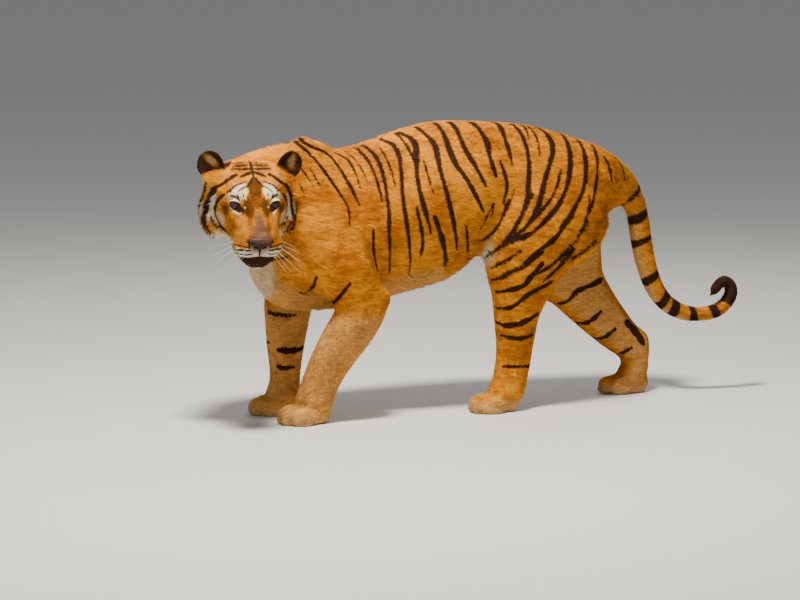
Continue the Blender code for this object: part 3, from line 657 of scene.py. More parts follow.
# markings: stripes are tapering curves laid on the skin
# on each side of the trunk and thighs: half width, then x and z of the curve, back to belly
flankStripes = mm((
    (4.7, (-448, 932), (-398, 875), (-348, 800), (-305, 718), (-306, 657)),
    (6.8, (-416, 921), (-331, 877), (-291, 805), (-258, 719)), (2.1, (-445, 845), (-412, 784)),
    (2.1, (-417, 845), (-388, 779)), (3.8, (-298, 884), (-263, 857), (-247, 773)),
    (2.4, (-258, 887), (-239, 857), (-220, 792)), (4.8, (-218, 902), (-197, 841), (-179, 729)),
    (6, (-193, 910), (-170, 860), (-160, 713), (-160, 620), (-150, 490)),
    (3, (-148, 900), (-138, 840), (-130, 775)),
    (6.6, (-126, 923), (-100, 893), (-110, 751), (-97, 632), (-75, 480)),
    (4, (-67, 915), (-55, 850), (-51, 793)),
    (8.2, (-63, 949), (-37, 911), (-55, 805), (-37, 698), (-15, 620)),
    (8.4, (3, 955), (25, 907), (27, 826), (56, 687), (85, 560)), (3, (-25, 858), (-17, 804), (-5, 752)),
    (8.7, (69, 972), (76, 864), (122, 784), (176, 685)), (8, (-4, 677), (14, 628), (39, 560), (60, 500)),
    (8.4, (121, 967), (125, 897), (159, 824), (185, 770)),
    (10.3, (201, 966), (213, 914), (211, 866), (225, 800)), (9.1, (292, 963), (285, 916), (292, 838)),
    (4.7, (389, 958), (376, 917)),
    (8, (354, 941), (357, 851), (343, 748), (305, 662), (252, 583), (204, 525)),
    (4.2, (408, 941), (407, 907), (401, 859)),
    (9.3, (453, 941), (460, 890), (419, 799), (347, 660), (261, 583)),
    (8.7, (527, 912), (504, 786), (454, 705), (380, 640), (310, 588)),
    (7.8, (584, 902), (566, 768), (512, 687), (440, 620)),
    (6.1, (637, 881), (616, 775), (590, 700), (545, 640)), (6.2, (664, 846), (676, 810), (680, 762)),
    (5.6, (738, 822), (748, 795), (750, 760)), (4.7, (478, 812), (436, 735), (350, 655), (276, 598)),
    (2.3, (216, 713), (206, 663)), (4, (271, 721), (228, 627), (189, 582)),
    (4, (358, 738), (317, 681), (273, 623)), (7.6, (500, 660), (420, 588), (362, 551), (300, 505)),
    (5.5, (299, 552), (262, 524), (234, 506), (212, 488)),
    (5.9, (330, 612), (274, 583), (241, 567), (213, 538), (204, 515)),
    (7.4, (372, 545), (312, 503), (274, 484), (237, 459), (212, 450)),
    (6.1, (560, 640), (490, 560), (410, 500), (340, 465)),
    (8.7, (372, 506), (335, 466), (312, 435), (267, 420), (229, 409)),
    (6.4, (500, 545), (440, 490), (380, 445)),
    (7.8, (420, 440), (393, 431), (336, 406), (302, 378), (273, 358), (236, 355)),
    (9.8, (375, 330), (335, 311), (302, 300), (265, 297), (243, 306)),
    (7.2, (366, 258), (307, 251), (250, 263)), (7.2, (600, 575), (582, 558), (531, 530), (492, 513)),
    (4.2, (110, 640), (125, 580), (150, 520)), (4.6, (-215, 640), (-215, 570), (-200, 500)),
    (6.5, (247, 848), (263, 795), (265, 758), (248, 706)), (4, (576, 719), (563, 666), (541, 634)),
    (2.4, (292, 753), (274, 709), (244, 658), (213, 615), (174, 580)),
    (2.8, (213, 712), (186, 660), (165, 616)), (1.6, (-456, 796), (-450, 763), (-448, 725)),
    (5.6, (-65, 707), (-53, 650), (-44, 593), (-48, 539)),
))
# seen on the inside of the hind leg: half width, then x and z
innerStripes = mm((
    (8.5, (745, 405), (732, 399), (682, 382), (642, 368), (613, 335), (587, 323)),
    (8, (735, 293), (706, 265), (681, 252), (656, 255)), (7, (791, 228), (755, 200), (730, 196)),
    (14, (842, 248), (877, 211), (904, 168)), (5.5, (856, 159), (821, 139), (796, 127)),
    (6.5, (-470, 342), (-441, 335), (-385, 333)), (9.5, (-449, 218), (-409, 214), (-358, 219)),
    (6.5, (-452, 163), (-434, 157), (-400, 159)),
))
# how much further back the right limbs' markings lie than the left ones', by height
swing = {"hind": ((0.00, 0.46), (0.20, 0.42), (0.30, 0.36), (0.40, 0.30), (0.47, 0.255), (0.54, 0.205),
                  (0.61, 0.140), (0.69, 0.080), (0.77, 0.035), (0.86, 0.0), (1.1, 0.0)),
         "fore": ((0.00, -0.05), (0.20, -0.06), (0.32, -0.12), (0.42, -0.15), (0.50, -0.07), (0.60, -0.03),
                  (0.72, 0.0), (1.1, 0.0))}
# rings: table, frame, place along it, from and to round it in turns, lean, half width
ringStripes = (
    ("forearmRight", 0.45, -0.10, 0.30, 0.03, 0.0040),
    ("upperArmRight", 0.62, 0.36, 0.62, 0.05, 0.0050), ("upperArmRight", 0.80, 0.36, 0.60, 0.05, 0.0050),
    ("shankLeft", 0.20, 0.82, 1.18, 0.03, 0.0060), ("shankLeft", 0.42, 0.80, 1.20, 0.02, 0.0055),
    ("shankLeft", 0.62, 0.36, 0.94, 0.02, 0.0045),
)
tailRings = (   # place along the tail, half width
    (0.105, 0.009), (0.162, 0.016), (0.222, 0.012), (0.322, 0.014), (0.402, 0.017),
    (0.450, 0.017), (0.522, 0.015), (0.604, 0.015), (0.682, 0.017), (0.712, 0.021), (0.745, 0.022),
    (0.780, 0.020), (0.820, 0.018), (0.865, 0.016), (0.910, 0.015), (0.955, 0.014), (0.990, 0.014),
)
throatStripes = mm((
    (5, (-422, -205, 492), (-414, -155, 456), (-425, -128, 430), (-452, -123, 431)),
    (6, (-319, -243, 471), (-343, -230, 434), (-354, -167, 401), (-351, -100, 385)),
    (4, (-560, -60, 560), (-545, -110, 545), (-500, -160, 560)),
    (4, (-560, 70, 600), (-530, 130, 620), (-470, 160, 660)),
))
# on the head, in its frame and the same on both sides: half width, then x, y and z
faceStripes = mm((
    (5.2, (-92, 5, 90), (-93, 30, 89), (-98, 60, 84)),   # forehead arcs
    # chevron between the brows
    (5.6, (-72, 6, 88), (-74, 32, 86), (-84, 64, 78)), (6.6, (-57, 6, 82), (-50, 22, 78), (-45, 40, 72)),
    (4.6, (-112, 6, 92), (-113, 34, 90), (-118, 64, 84)), (5, (-34, 4, 73), (-22, 12, 66), (-8, 25, 56)),
    (3.6, (-118, 1, 92), (-70, 0, 87), (-40, 1, 77)),   # middle line
    (3, (-12, 78, 40), (-22, 62, 52), (-26, 26, 66)),   # brow lines
    (2.4, (-4, 55, 43), (-8, 40, 52), (-11, 26, 58)), (2.3, (2, 58, 36), (8, 53, 28), (14, 49, 20)),
    (2.3, (-2, 80, 30), (4, 66, 30), (10, 54, 23)), (2, (6, 40, 40), (14, 36, 30)),
    (2.6, (-24, 86, 30), (-18, 84, 40), (-22, 74, 50)),
    (12, (-56, 118, 30), (-60, 130, 12), (-64, 142, -26), (-64, 146, -62), (-66, 140, -100),
     (-58, 124, -124)),   # dark edge of the face
    # thin cheek line
    (5.8, (-24, 94, 22), (-34, 108, 0), (-38, 116, -30), (-34, 116, -60), (-20, 104, -86), (0, 90, -98)),
    (5.6, (-46, 126, -70), (-34, 114, -96), (-6, 94, -112), (16, 82, -112)),
    (7.2, (-55, 54, 79), (-51, 74, 68), (-50, 96, 50), (-54, 116, 30)),
    (12, (-104, 146, 10), (-112, 158, -30), (-114, 160, -75), (-104, 146, -128)),
    # the face's dark edge carried on under the jaw, partly its dark fur and partly painted shade there
    (11, (-104, 146, -128), (-88, 128, -158), (-62, 104, -170)),
    (7, (-84, 146, -90), (-64, 126, -128), (-40, 104, -140)),
    # a dark band behind the ruff, mostly painted shade between the head and the neck
    (8, (-140, 120, 30), (-150, 135, -40), (-145, 125, -110)),
    (2.8, (34, 41, 4), (42, 40, -3), (52, 41, -12)),   # tear line
    (2.6, (140, 30, -86), (126, 54, -90), (104, 72, -98)),   # rows on the whisker pad
    (2.2, (141, 26, -97), (126, 53, -102), (102, 72, -109)),
    (1.8, (134, 40, -77), (120, 58, -79), (100, 70, -86)),
    (7.4, (144, 0, -116), (136, 28, -120), (112, 52, -124)),   # lips
    (6.4, (134, 0, -128), (124, 30, -131), (100, 50, -131)),
    # the next two bands are painted shade under the mouth, below the lips; last, the line under the nose
    (6, (128, 0, -138), (118, 28, -140), (96, 46, -139)),
    (5.4, (121, 0, -147), (111, 24, -149), (90, 38, -148)), (2.6, (147, 0, -78), (145, 0, -110)),
    (2.8, (128, 30, -52), (138, 36, -64), (140, 34, -78)),   # beside the nose
))
# soft patches on the head, each side alike: centre, reach and strength, in thousandths
palePatches = mm((
    (-4, 48, 44, 34, 26, 26, 680), (12, 66, 26, 30, 24, 18, 700), (36, 34, 6, 8, 5, 7, 1300),
    (138, 18, -94, 30, 36, 16, 900), (-50, 128, -30, 26, 22, 64, 850), (-18, 104, -70, 36, 24, 40, 500),
    (-12, 88, 14, 16, 14, 16, 300), (-86, 152, -60, 18, 22, 56, 500), (118, 42, -104, 44, 46, 20, 1200),
    (70, 70, -104, 50, 26, 22, 600), (100, 20, -150, 60, 60, 22, 850), (20, 30, -160, 110, 80, 36, 800),
    (-74, 98, 62, 22, 46, 16, 240), (86, 52, -44, 62, 30, 46, 200), (-20, 74, 62, 24, 36, 16, 340),
    (-80, 136, 20, 20, 20, 30, 300),
))
brownPatches = mm((
    (50, 26, 18, 46, 19, 42, 920), (2, 2, 54, 40, 24, 30, 950), (36, 0, 34, 44, 26, 34, 840),
    (56, 0, 24, 26, 20, 20, 550), (4, 94, -18, 20, 16, 26, 800), (80, 14, 12, 40, 22, 26, 550),
    (48, 66, -50, 22, 14, 12, 400), (30, 80, -70, 14, 12, 10, 400), (-80, 30, 90, 50, 60, 30, 160),
    (96, 28, -20, 34, 10, 30, 550),
))
bareBridge = mm(((66, 0, 28, 2), (100, 0, -2, 14), (124, 0, -30, 28), (140, 0, -56, 40)))


def sideLine(points, side, within=-0.02, start=2.0):   # a smooth x and z line cast on one side
    line = []
    for x, z in smoothLine([(x, z) for x, z in points], 7 * len(points)):
        hit = skinTree.ray_cast(Vector((x, start * side, z)), Vector((0, -side, 0)))[0]
        if hit is not None and hit.y * side > within:
            line.append(hit)
        elif z > 0.75:   # over the back
            line.append(snapped((x, 0.03 * side, z)))
    return np.array(line)


def skinLine(points):   # a smooth line through a few points, laid on the skin
    return np.array([snapped(point) for point in smoothLine([tuple(p) for p in points], 7 * len(points))])


def swung(x, z):
    kind = "hind" if x > 0.12 else "fore"
    heights, shifts = zip(*swing[kind])
    share = 1.0 if kind == "fore" else float(ramp(np.array(x), 0.12, 0.24))
    return x + share * float(np.interp(z, heights, shifts))


def laid(width, line, grow=0.40, swell=0.0013):   # a line and the stripe's half widths, thin at its end
    place = np.linspace(0, 1, len(line))
    thick = width * (0.20 + 0.80 * np.sin(math.pi * np.clip(place * 0.80 + 0.16, 0, 1))**0.6)
    thick *= 1 + grow * 0.5 * np.sin(place * 17 + line[0][0] * 90)
    return line, thick + swell


def ringLine(rows, frameOf, place, lean, turns):   # a line on the skin round a limb or the tail
    line = []
    for angle in turns * math.tau:
        at = min(max(place + lean * math.sin(angle), 0), 1)
        line.append(snapped(rimPoint(section(rows, at, frameOf), angle)))
    return skinLine(line)


def allStripes():
    stripes = []
    for index, (width, *points) in enumerate(flankStripes):
        if points[0][1] > 0.90:   # those of the back run on to the spine
            points = [(points[0][0] - 0.008, points[0][1] + 0.035), *points]
        wander = 0.011 * math.sin(index * 2.4)
        opposite = [(swung(x + wander * (1 - 0.5 * k), z), z - 0.006 * math.cos(index * 1.3))
                    for k, (x, z) in enumerate(points)]
        for line, half in ((sideLine(points, -1), width),
                           (sideLine(opposite, 1), width * (1 + 0.15 * math.sin(index * 1.7)))):
            if len(line) > 4:
                stripes.append(laid(half, line))
    for width, *points in innerStripes:
        stripes.append(laid(width, sideLine(points, -1, -0.3, 0.02)))
    for name, place, start, end, lean, width in ringStripes:
        turns = np.linspace(start, end, 9)
        stripes.append(laid(width, ringLine(limbRows[name], limbFrame, place, lean, turns)))
    for place, width in tailRings:
        line = ringLine(tailRows, tailFrame, place, 0.006, np.linspace(-0.25, 0.75, 13))
        swell = 0.80 + 0.25 * np.sin(np.linspace(0, math.pi, len(line)))
        stripes.append((line, width * (swell + 0.12 * np.sin(np.linspace(0, 11, len(line)) + place * 40))))
    for width, *points in throatStripes:
        stripes.append(laid(width, skinLine(points)))
    for width, *points in faceStripes:
        for side in ((1, -1) if points[0][1] or points[-1][1] else (1,)):
            lean = 1 + 0.05 * side   # the two sides of the forehead and muzzle differ a little
            places = [headFrame @ Vector((x, y * side * (lean if y < 0.03 else 1), z)) for x, y, z in points]
            stripes.append(laid(width, skinLine(places), 0.2, 0.0006))
    return stripes


stripes = allStripes()
print(len(stripes), "stripes laid")


def stripeAt(points):   # how far outside the nearest stripe each point is, less than 0 within it
    nearest = np.full(len(points), 0.03)
    for line, thick in stripes:
        low, high = line.min(0) - 0.03, line.max(0) + 0.03
        near = np.flatnonzero(((points > low) & (points < high)).all(1))
        if len(near):
            nearest[near] = np.minimum(nearest[near], distanceTo(points[near], line, thick)[0])
    return nearest


def fromEye(points, side):   # how far outside an eye's opening, the place in the eye's frame, and in openings
    local = moved(points, eyeFrame(side).inverted())
    wide, high = local[:, 1] - eyeOpening["aside"], local[:, 2] - eyeOpening["lift"]
    ring = np.hypot(wide / eyeOpening["half"], high / eyeOpening["tall"])
    off = (1 - 1 / np.maximum(ring, 0.05)) * np.hypot(wide, high)
    close = np.abs(local[:, 0] - 0.012) < 0.030
    return np.where(close, off, 0.1), local, np.where(close, ring, 9.0)


limbLines = np.array([
    (*section(limb, place, limbFrame)[0], section(limb, place, limbFrame)[3])
    for limb in limbRows.values() for place in np.linspace(0, 1, 12)])


def palenessOf(points, normals):   # how pale the trunk, limbs and tail are
    x, y, z = points.T
    heights = np.array(trunkRows)
    widest = np.interp(x, heights[:, 0], heights[:, 1])
    drop = np.interp(x, heights[:, 0], heights[:, 4])
    low = (widest - z) / drop
    pale = ramp(low, 0.50, 1.15) * ramp(x, -0.44, -0.34) * (1 - ramp(x, 0.16, 0.27))
    beneath = 0.8 * ramp(-normals[:, 2], 0.35, 0.9) * ramp(z, 0.36, 0.44)
    pale = np.maximum(pale, beneath * (x > -0.5) * (x < 0.60))
    nearest = np.empty(len(points), int)
    for start in range(0, len(points), chunk):
        part = points[start:start + chunk]
        nearest[start:start + chunk] = ((part[:, None] - limbLines[None, :, :3])**2).sum(2).argmin(1)
    inward = (y - limbLines[nearest, 1]) * -np.sign(limbLines[nearest, 1]) / limbLines[nearest, 3]
    leg = ramp(0.66 - z, 0.0, 0.14) * (x > -0.60) * (x < 0.96)
    pale = np.where(leg > 0, np.maximum(pale * (1 - leg), leg * 0.30 * ramp(inward, 0.10, 0.80)), pale)
    pale = np.maximum(pale, 0.36 * ramp(0.085 - z, 0.0, 0.07) * (x < 0.95))
    pale = np.maximum(pale, 0.30 * ramp(0.43 - z, 0.0, 0.10) * (x < -0.10) * (x > -0.60))
    pale = np.maximum(pale, 0.60 * np.exp(-((x - 0.208) / 0.020)**2 - ((z - 0.545) / 0.055)**2))
    chest = 0.50 * ramp(-normals[:, 0], 0.45, 0.85) * ramp(0.64 - z, 0, 0.10)
    chest *= ramp(z, 0.30, 0.40) * (x < -0.40)
    chest *= 1 - ramp(np.abs(y + 0.02), 0.10, 0.17)
    pale = np.maximum(pale, chest)
    tail = ramp(x, 0.77, 0.83) * ramp(z, 0.215, 0.24) * (np.abs(y) < 0.08)
    under = 0.08 + 0.24 * ramp(-normals[:, 0] - 0.8 * normals[:, 2], -0.5, 1.2)
    return np.where(tail > 0, pale * (1 - tail) + tail * under, pale)


def markFace(points, normals, pale, deep, bare):   # soft patches, the throat and the bare bridge
    local = toHead(points)
    near = np.flatnonzero((np.abs(local - head["middle"]) < 0.25).all(1) & (points[:, 0] < -0.45))
    part = local[near]
    part[:, 1] = np.abs(part[:, 1])
    wobble = np.sin(part[:, 1] * 210 + 3 * np.sin(part[:, 2] * 130))
    wobble *= np.sin(part[:, 2] * 190 + part[:, 0] * 90)
    white, brown = (np.max([
        row[6] * (1 - ramp((((part - row[:3]) / row[3:6])**2).sum(1) * (1 + 0.30 * wobble), 0.30, 1.60))
        for row in np.array(patches)], axis=0) for patches in (palePatches, brownPatches))
    inHead = ramp(part[:, 0], -0.25, -0.12)
    pale[near] = np.maximum(pale[near] * (1 - inHead), np.minimum(white, 1))
    throat = ramp(-normals[near, 2], 0.25, 0.8) * ramp(-part[:, 2], 0.08, 0.13)
    throat *= 1 - ramp(part[:, 1], 0.10, 0.15)
    pale[near] = np.maximum(pale[near], 0.6 * throat)
    deep[near] = np.maximum(deep[near] * (1 - inHead), brown)
    line = np.array(bareBridge)
    far, place = distanceTo(part, line[:, :3])
    half = np.interp(place, np.linspace(0, 1, len(line)), line[:, 3])
    bare[near] = 0.85 * (1 - ramp(far - half, -0.012, 0.008)) * ramp(place, -0.1, 0.32)


def markEar(side, points, normals, stripe, pale, deep, bare):   # black behind with a white spot, olive within, darkened towards the hollow's walls by painted shade
    at = headFrame @ earPlace(side)
    inEar = moved(points, at.inverted())
    facing = unit(normals @ np.array(at)[:3, :3])[:, 0]
    ear = np.flatnonzero((np.abs(inEar - (0, 0, 0.040)) < (0.045, 0.052, 0.046)).all(1))
    height, across, front = inEar[ear, 2], inEar[ear, 1], facing[ear]
    rise = ramp(height, -0.002, 0.012)
    back = rise * (1 - ramp(front, -0.1, 0.35))
    hollowAt = ((across - 0.004 + 0.5 * (height - 0.038)) / 0.017)**2 + ((height - 0.038) / 0.027)**2
    streak = np.sin(across * 1500 + height * 420 + 2 * np.sin(height * 260))
    hollowAt += 0.26 * np.sin(height * 900 + across * 700) * np.sin(across * 1100) + 0.16 * streak
    rim = rise * ramp(hollowAt, 0.7, 1.5)
    spot = ((across / 0.016)**2 + ((height - 0.038) / 0.015)**2) < 1
    black = np.where(spot & (front < -0.2), 0, np.maximum(back, rim)) > 0.5
    stripe[ear] = np.where(black, -0.006, stripe[ear])
    # painted shade in the ear's hollow: none at its middle, full towards its walls
    hollowShade = ramp(hollowAt, 0.05, 0.95) * (front > -0.2)
    within = 0.50 - 0.44 * hollowShade + 0.16 * streak * (1 - hollowShade) + 0.4 * (spot & (front < -0.2))
    pale[ear] = np.where(black, pale[ear], pale[ear] * (1 - rise) + rise * within)
    bare[ear] = np.where(~black & (front > -0.2), (0.34 - 0.2 * hollowShade) * rise, bare[ear])
    deep[ear] = np.where(black, 0.6, hollowShade * rise)


def marksAt(points, normals):   # stripe distance, pale, deep brown and bare skin at each point
    x, y, z = points.T
    stripe = stripeAt(points)
    pale = palenessOf(points, normals)
    deep = 0.12 * ramp(normals[:, 2], 0.3, 1.0) * ramp(z, 0.72, 0.86) * (x > -0.45)
    bare = np.zeros(len(points))
    markFace(points, normals, pale, deep, bare)
    for side in (-1, 1):   # the eye's dark rim, and white below it
        off, inFrame = fromEye(points, side)[:2]
        pale = np.maximum(pale, ramp(-inFrame[:, 2], -0.002, 0.004) * (1 - ramp(off, 0.0055, 0.0090))
                          * (1 - 0.8 * ramp(inFrame[:, 1], 0.008, 0.020)))
        stripe = np.minimum(stripe, off - eyeOpening["rim"])
    for side in (-1, 1):
        markEar(side, points, normals, stripe, pale, deep, bare)
    return np.stack((stripe, np.clip(pale, 0, 1), np.clip(deep, 0, 1), bare), axis=1)


def paint(mesh, marks):   # the stripe's distance, a share of 40 mm, lies round one half
    colourLayer(mesh, "marks", np.column_stack((np.clip(0.5 + marks[:, 0] * 25, 0, 1), marks[:, 1:])))


paint(skin.data, marksAt(skinPoints, skinNormals))
colourLayer(skin.data, "strand", np.tile((0.5, 0.25, 0, 1), (len(skinPoints), 1)))
print("markings on the skin")


# materials: fur, eyes, nose leather and whiskers are nodes written as expressions
class Wire:   # a socket that takes part in Python expressions, each making a maths node
    def __init__(self, finish, socket):
        self.finish = finish
        self.socket = socket

    def maths(self, operation, first, second):
        return self.finish.node("ShaderNodeMath", {"operation": operation}, {0: first, 1: second})

    def step(self, start, end):   # a smooth step over this value
        return self.finish.node("ShaderNodeMapRange", {"interpolation_type": "SMOOTHSTEP"},
                                {"Value": self, "From Min": start, "From Max": end})


for name, operation in (("add", "ADD"), ("sub", "SUBTRACT"), ("mul", "MULTIPLY"), ("truediv", "DIVIDE")):
    setattr(Wire, f"__{name}__", lambda self, other, operation=operation: self.maths(operation, self, other))
    setattr(Wire, f"__r{name}__", lambda self, other, operation=operation: self.maths(operation, other, self))


class Finish:
    def __init__(self, name, **sockets):
        self.material = bpy.data.materials.new(name)
        self.material.use_nodes = True
        self.tree = self.material.node_tree
        self.shader = self.tree.nodes["Principled BSDF"]
        self.give(self.shader, sockets)

    def give(self, node, values):
        for key, value in values.items():
            socket = node.inputs[key.replace("_", " ") if isinstance(key, str) else key]
            if isinstance(value, Wire):
                self.tree.links.new(value.socket, socket)
            else:
                socket.default_value = value

    def node(self, kind, settings=None, values=None, out=0):
        made = self.tree.nodes.new(kind)
        for key, value in (settings or {}).items():
            if key == "stops":
                for extra in value[2:]:
                    made.color_ramp.elements.new(extra[0])
                for stop, (place, colour) in zip(made.color_ramp.elements, value):
                    stop.position = place
                    stop.color = (*colour, 1)
            else:
                setattr(made, key, value)
        self.give(made, values or {})
        return Wire(self, made.outputs[out])

    def named(self, name, out="Color"):
        return self.node("ShaderNodeAttribute", {"attribute_name": name}, out=out)

    def split(self, colour):
        made = self.node("ShaderNodeSeparateColor", {}, {"Color": colour})
        return [Wire(self, socket) for socket in made.socket.node.outputs]

    def place(self, scale=(1, 1, 1)):
        where = self.node("ShaderNodeTexCoord", out="Object")
        return self.node("ShaderNodeMapping", {}, {"Vector": where, "Scale": scale})

    def noise(self, scale, detail=2.0, stretch=(1, 1, 1), rough=0.5):
        return self.node("ShaderNodeTexNoise", {}, {
            "Vector": self.place(stretch), "Scale": scale, "Detail": detail, "Roughness": rough})

    def mix(self, share, first, second):   # between two colours
        return self.node("ShaderNodeMix", {"data_type": "RGBA"}, {0: share, 6: first, 7: second}, out=2)

    def bump(self, height, strength, distance):
        return self.node("ShaderNodeBump", {}, {"Height": height, "Strength": strength, "Distance": distance})

    def apply(self, obj):
        obj.data.materials.clear()
        obj.data.materials.append(self.material)


fur = {
    "orange": (0.450, 0.128, 0.003, 1), "orangeLight": (0.740, 0.270, 0.008, 1),
    "deep": (0.085, 0.026, 0.003, 1), "cream": (0.700, 0.590, 0.420, 1), "ochre": (0.560, 0.250, 0.035, 1),
    "stripe": (0.018, 0.009, 0.006, 1), "stripeSun": (0.056, 0.021, 0.011, 1),
    "bare": (0.090, 0.052, 0.037, 1), "roughness": 0.75,
}


def furFinish(name, tuft):
    finish = Finish(name, Roughness=fur["roughness"], Specular_IOR_Level=0.06)
    stripe, pale, deep = finish.split(finish.named("marks"))
    bare = finish.named("marks", "Alpha")
    tone, tip = finish.split(finish.named("strand"))[:2]
    cloudy = finish.noise(7, 3)
    fine = finish.noise(170, 2, (1, 1, 2.2))
    locks = finish.noise(34, 4, (0.55, 1, 1.5), 0.6)
    waves = finish.noise(85, 3, (0.45, 1, 1.7), 0.6)
    sunny = (cloudy * 0.5 + locks * 0.3 + waves * 0.2).step(0.38, 0.62)
    base = finish.mix(sunny, fur["orange"], fur["orangeLight"])
    # painted shade: darker patches along the locks and waves of the coat
    base = finish.mix((waves * 0.6 + locks * 0.4).step(0.54, 0.74) * 0.42, base, fur["deep"])
    base = finish.mix(deep * 1.08 + (waves - 0.5) * deep * 0.8, base, fur["deep"])
    base = finish.mix((pale * 2.0 + (cloudy - 0.5) * 0.4).step(0.0, 0.9), base, fur["ochre"])
    base = finish.mix((pale * 1.25 - 0.20 + (fine - 0.5) * 0.25).step(0.05, 0.75), base, fur["cream"])
    base = finish.mix(bare, base, fur["bare"])
    inside = 1 - (stripe + (fine - 0.5) * 0.045 + (tone - 0.5) * 0.025).step(0.480, 0.530)
    dark = finish.mix(cloudy, fur["stripe"], fur["stripeSun"])
    base = finish.mix(inside, base, dark)
    # each tuft's own tone at random, lighter towards its tips, with painted light and shade over the locks
    # and waves of the coat
    toneLightAndShade = 0.70 + tone * 0.40 + tip * 0.16 + (fine - 0.5) * 0.50
    toneLightAndShade = toneLightAndShade + (locks - 0.5) * 1.00 + (waves - 0.5) * 0.90
    grey = finish.node("ShaderNodeCombineColor", {}, {"Red": toneLightAndShade, "Green": toneLightAndShade, "Blue": toneLightAndShade})
    base = finish.node("ShaderNodeMix", {"data_type": "RGBA", "blend_type": "MULTIPLY"},
                       {0: 1.0, 6: base, 7: grey}, out=2)
    finish.give(finish.shader, {"Base Color": base})
    if not tuft:
        finish.give(finish.shader, {"Normal": finish.bump(finish.noise(420, 3, (1, 1, 1.6)), 0.5, 0.0015)})
    return finish


furSkin, furCoat = furFinish("furSkin", False), furFinish("furCoat", True)
furSkin.apply(skin)

# the coat: thin closed tufts that lie along the body, rooted in the skin
tufts = {"total": 250000, "seed": 7, "patch": 0.0015, "jitter": 0.13, "sink": 0.0006, "eyeGap": 1.12,
         "mostTriangles": 196000}
longHair = {"share": 0.12, "stretch": 1.40, "lift": 1.3, "fewest": 50}


def skinSamples(total, rng):   # roots spread over the skin, thicker where the coat is finer
    mesh = skin.data
    count = len(mesh.polygons)
    corners = np.empty(count * 3, np.int32)
    mesh.polygons.foreach_get("vertices", corners)
    corners = corners.reshape(-1, 3)
    uv = np.empty(len(mesh.loops) * 2)
    mesh.uv_layers["OFBake"].data.foreach_get("uv", uv)
    uv = uv.reshape(-1, 3, 2)
    a, b, c = (skinPoints[corners[:, i]] for i in range(3))
    area = np.linalg.norm(np.cross(b - a, c - a), axis=1) / 2
    middle = (a + b + c) / 3
    weight = area * density[corners].mean(1) * (middle[:, 2] > 0.003)
    chosen = rng.choice(count, total, p=weight / weight.sum())
    u, v = rng.random(total), rng.random(total)
    flip = u + v > 1
    u[flip], v[flip] = 1 - u[flip], 1 - v[flip]
    shares = np.stack((1 - u - v, u, v), axis=1)
    points = (skinPoints[corners[chosen]] * shares[:, :, None]).sum(1)
    normals = unit((skinNormals[corners[chosen]] * shares[:, :, None]).sum(1))
    return points, normals, (uv[chosen] * shares[:, :, None]).sum(1), area


def onNose(points):
    local = toHead(points)
    return (((local - (0.140, 0, -0.060)) / (0.022, 0.036, 0.020))**2).sum(1) < 1


def tuftMesh(name, roots, normals, ways, sizes, uvs, marks, tipMarks, tones, bends):
    length, half, lift = sizes.T
    count = len(roots)
    side = np.cross(normals, ways)
    base = roots - normals * tufts["sink"]
    length, half, lift = length[:, None], half[:, None], lift[:, None]
    points = [base + side * half, base - side * half,
              base + normals * (half * 0.9 + tufts["sink"]) + ways * (half * 0.5)]
    if bends:   # a second ring half way along
        heart = base + ways * (length * 0.5) + normals * (lift * 0.85)
        points += [heart + side * (half * 0.8), heart - side * (half * 0.8), heart + normals * (half * 0.8)]
    points = np.stack([*points, roots + ways * length + normals * lift], axis=1)
    points[..., 2] = np.maximum(points[..., 2], 0.0)   # nothing under the floor
    each = points.shape[1]
    edges = ((0, 2), (2, 1), (1, 0))
    faces = [(0, 1, 2)]
    if bends:
        for i, j in edges:
            faces += [(i, j, j + 3), (i, j + 3, i + 3)]
    faces = np.array(faces + [(i + each - 4, j + each - 4, each - 1) for i, j in edges])
    corners = (faces[None] + np.arange(count)[:, None, None] * each).reshape(-1, 3)
    mesh = bpy.data.meshes.new(name)
    mesh.vertices.add(count * each)
    mesh.vertices.foreach_set("co", points.ravel())
    mesh.loops.add(corners.size)
    mesh.loops.foreach_set("vertex_index", corners.astype(np.int32).ravel())
    mesh.polygons.add(len(corners))
    mesh.polygons.foreach_set("loop_start", np.arange(0, corners.size, 3, dtype=np.int32))
    mesh.update()
    patch = tufts["patch"]
    spots = [(-patch, -patch), (patch, -patch), (0, -patch * 0.2)]
    if bends:
        spots += [(-patch * 0.8, 0), (patch * 0.8, 0), (0, patch * 0.3)]
    spots = np.array([*spots, (0, patch)])
    flat = (uvs[:, None, None, :] + spots[faces][None]).astype(np.float32)
    mesh.uv_layers.new(name="OFBake").data.foreach_set("uv", flat.ravel())
    shown = np.stack([marks] * 3 + [(marks + tipMarks) / 2] * (each - 4) + [tipMarks], axis=1)
    paint(mesh, shown.reshape(-1, 4))
    tipShare = np.tile([0.0] * 3 + [0.6] * (each - 4) + [1.0], count)
    colourLayer(mesh, "strand", np.stack(
        (np.repeat(tones, each), tipShare, tipShare * 0, np.ones(count * each)), axis=1))
    outward = np.tile([0.55, -0.55, 0.0] + ([0.5, -0.5, 0.0] if bends else []) + [0.0], count)[:, None]
    normals, side, ways = (np.repeat(v, each, axis=0) for v in (normals, side, ways))
    smoothed(mesh)
    shading = unit(normals + side * outward + ways * 0.25).astype(np.float32)
    mesh.normals_split_custom_set_from_vertices(shading)
    made = linked(name, mesh)
    furCoat.apply(made)
    return made


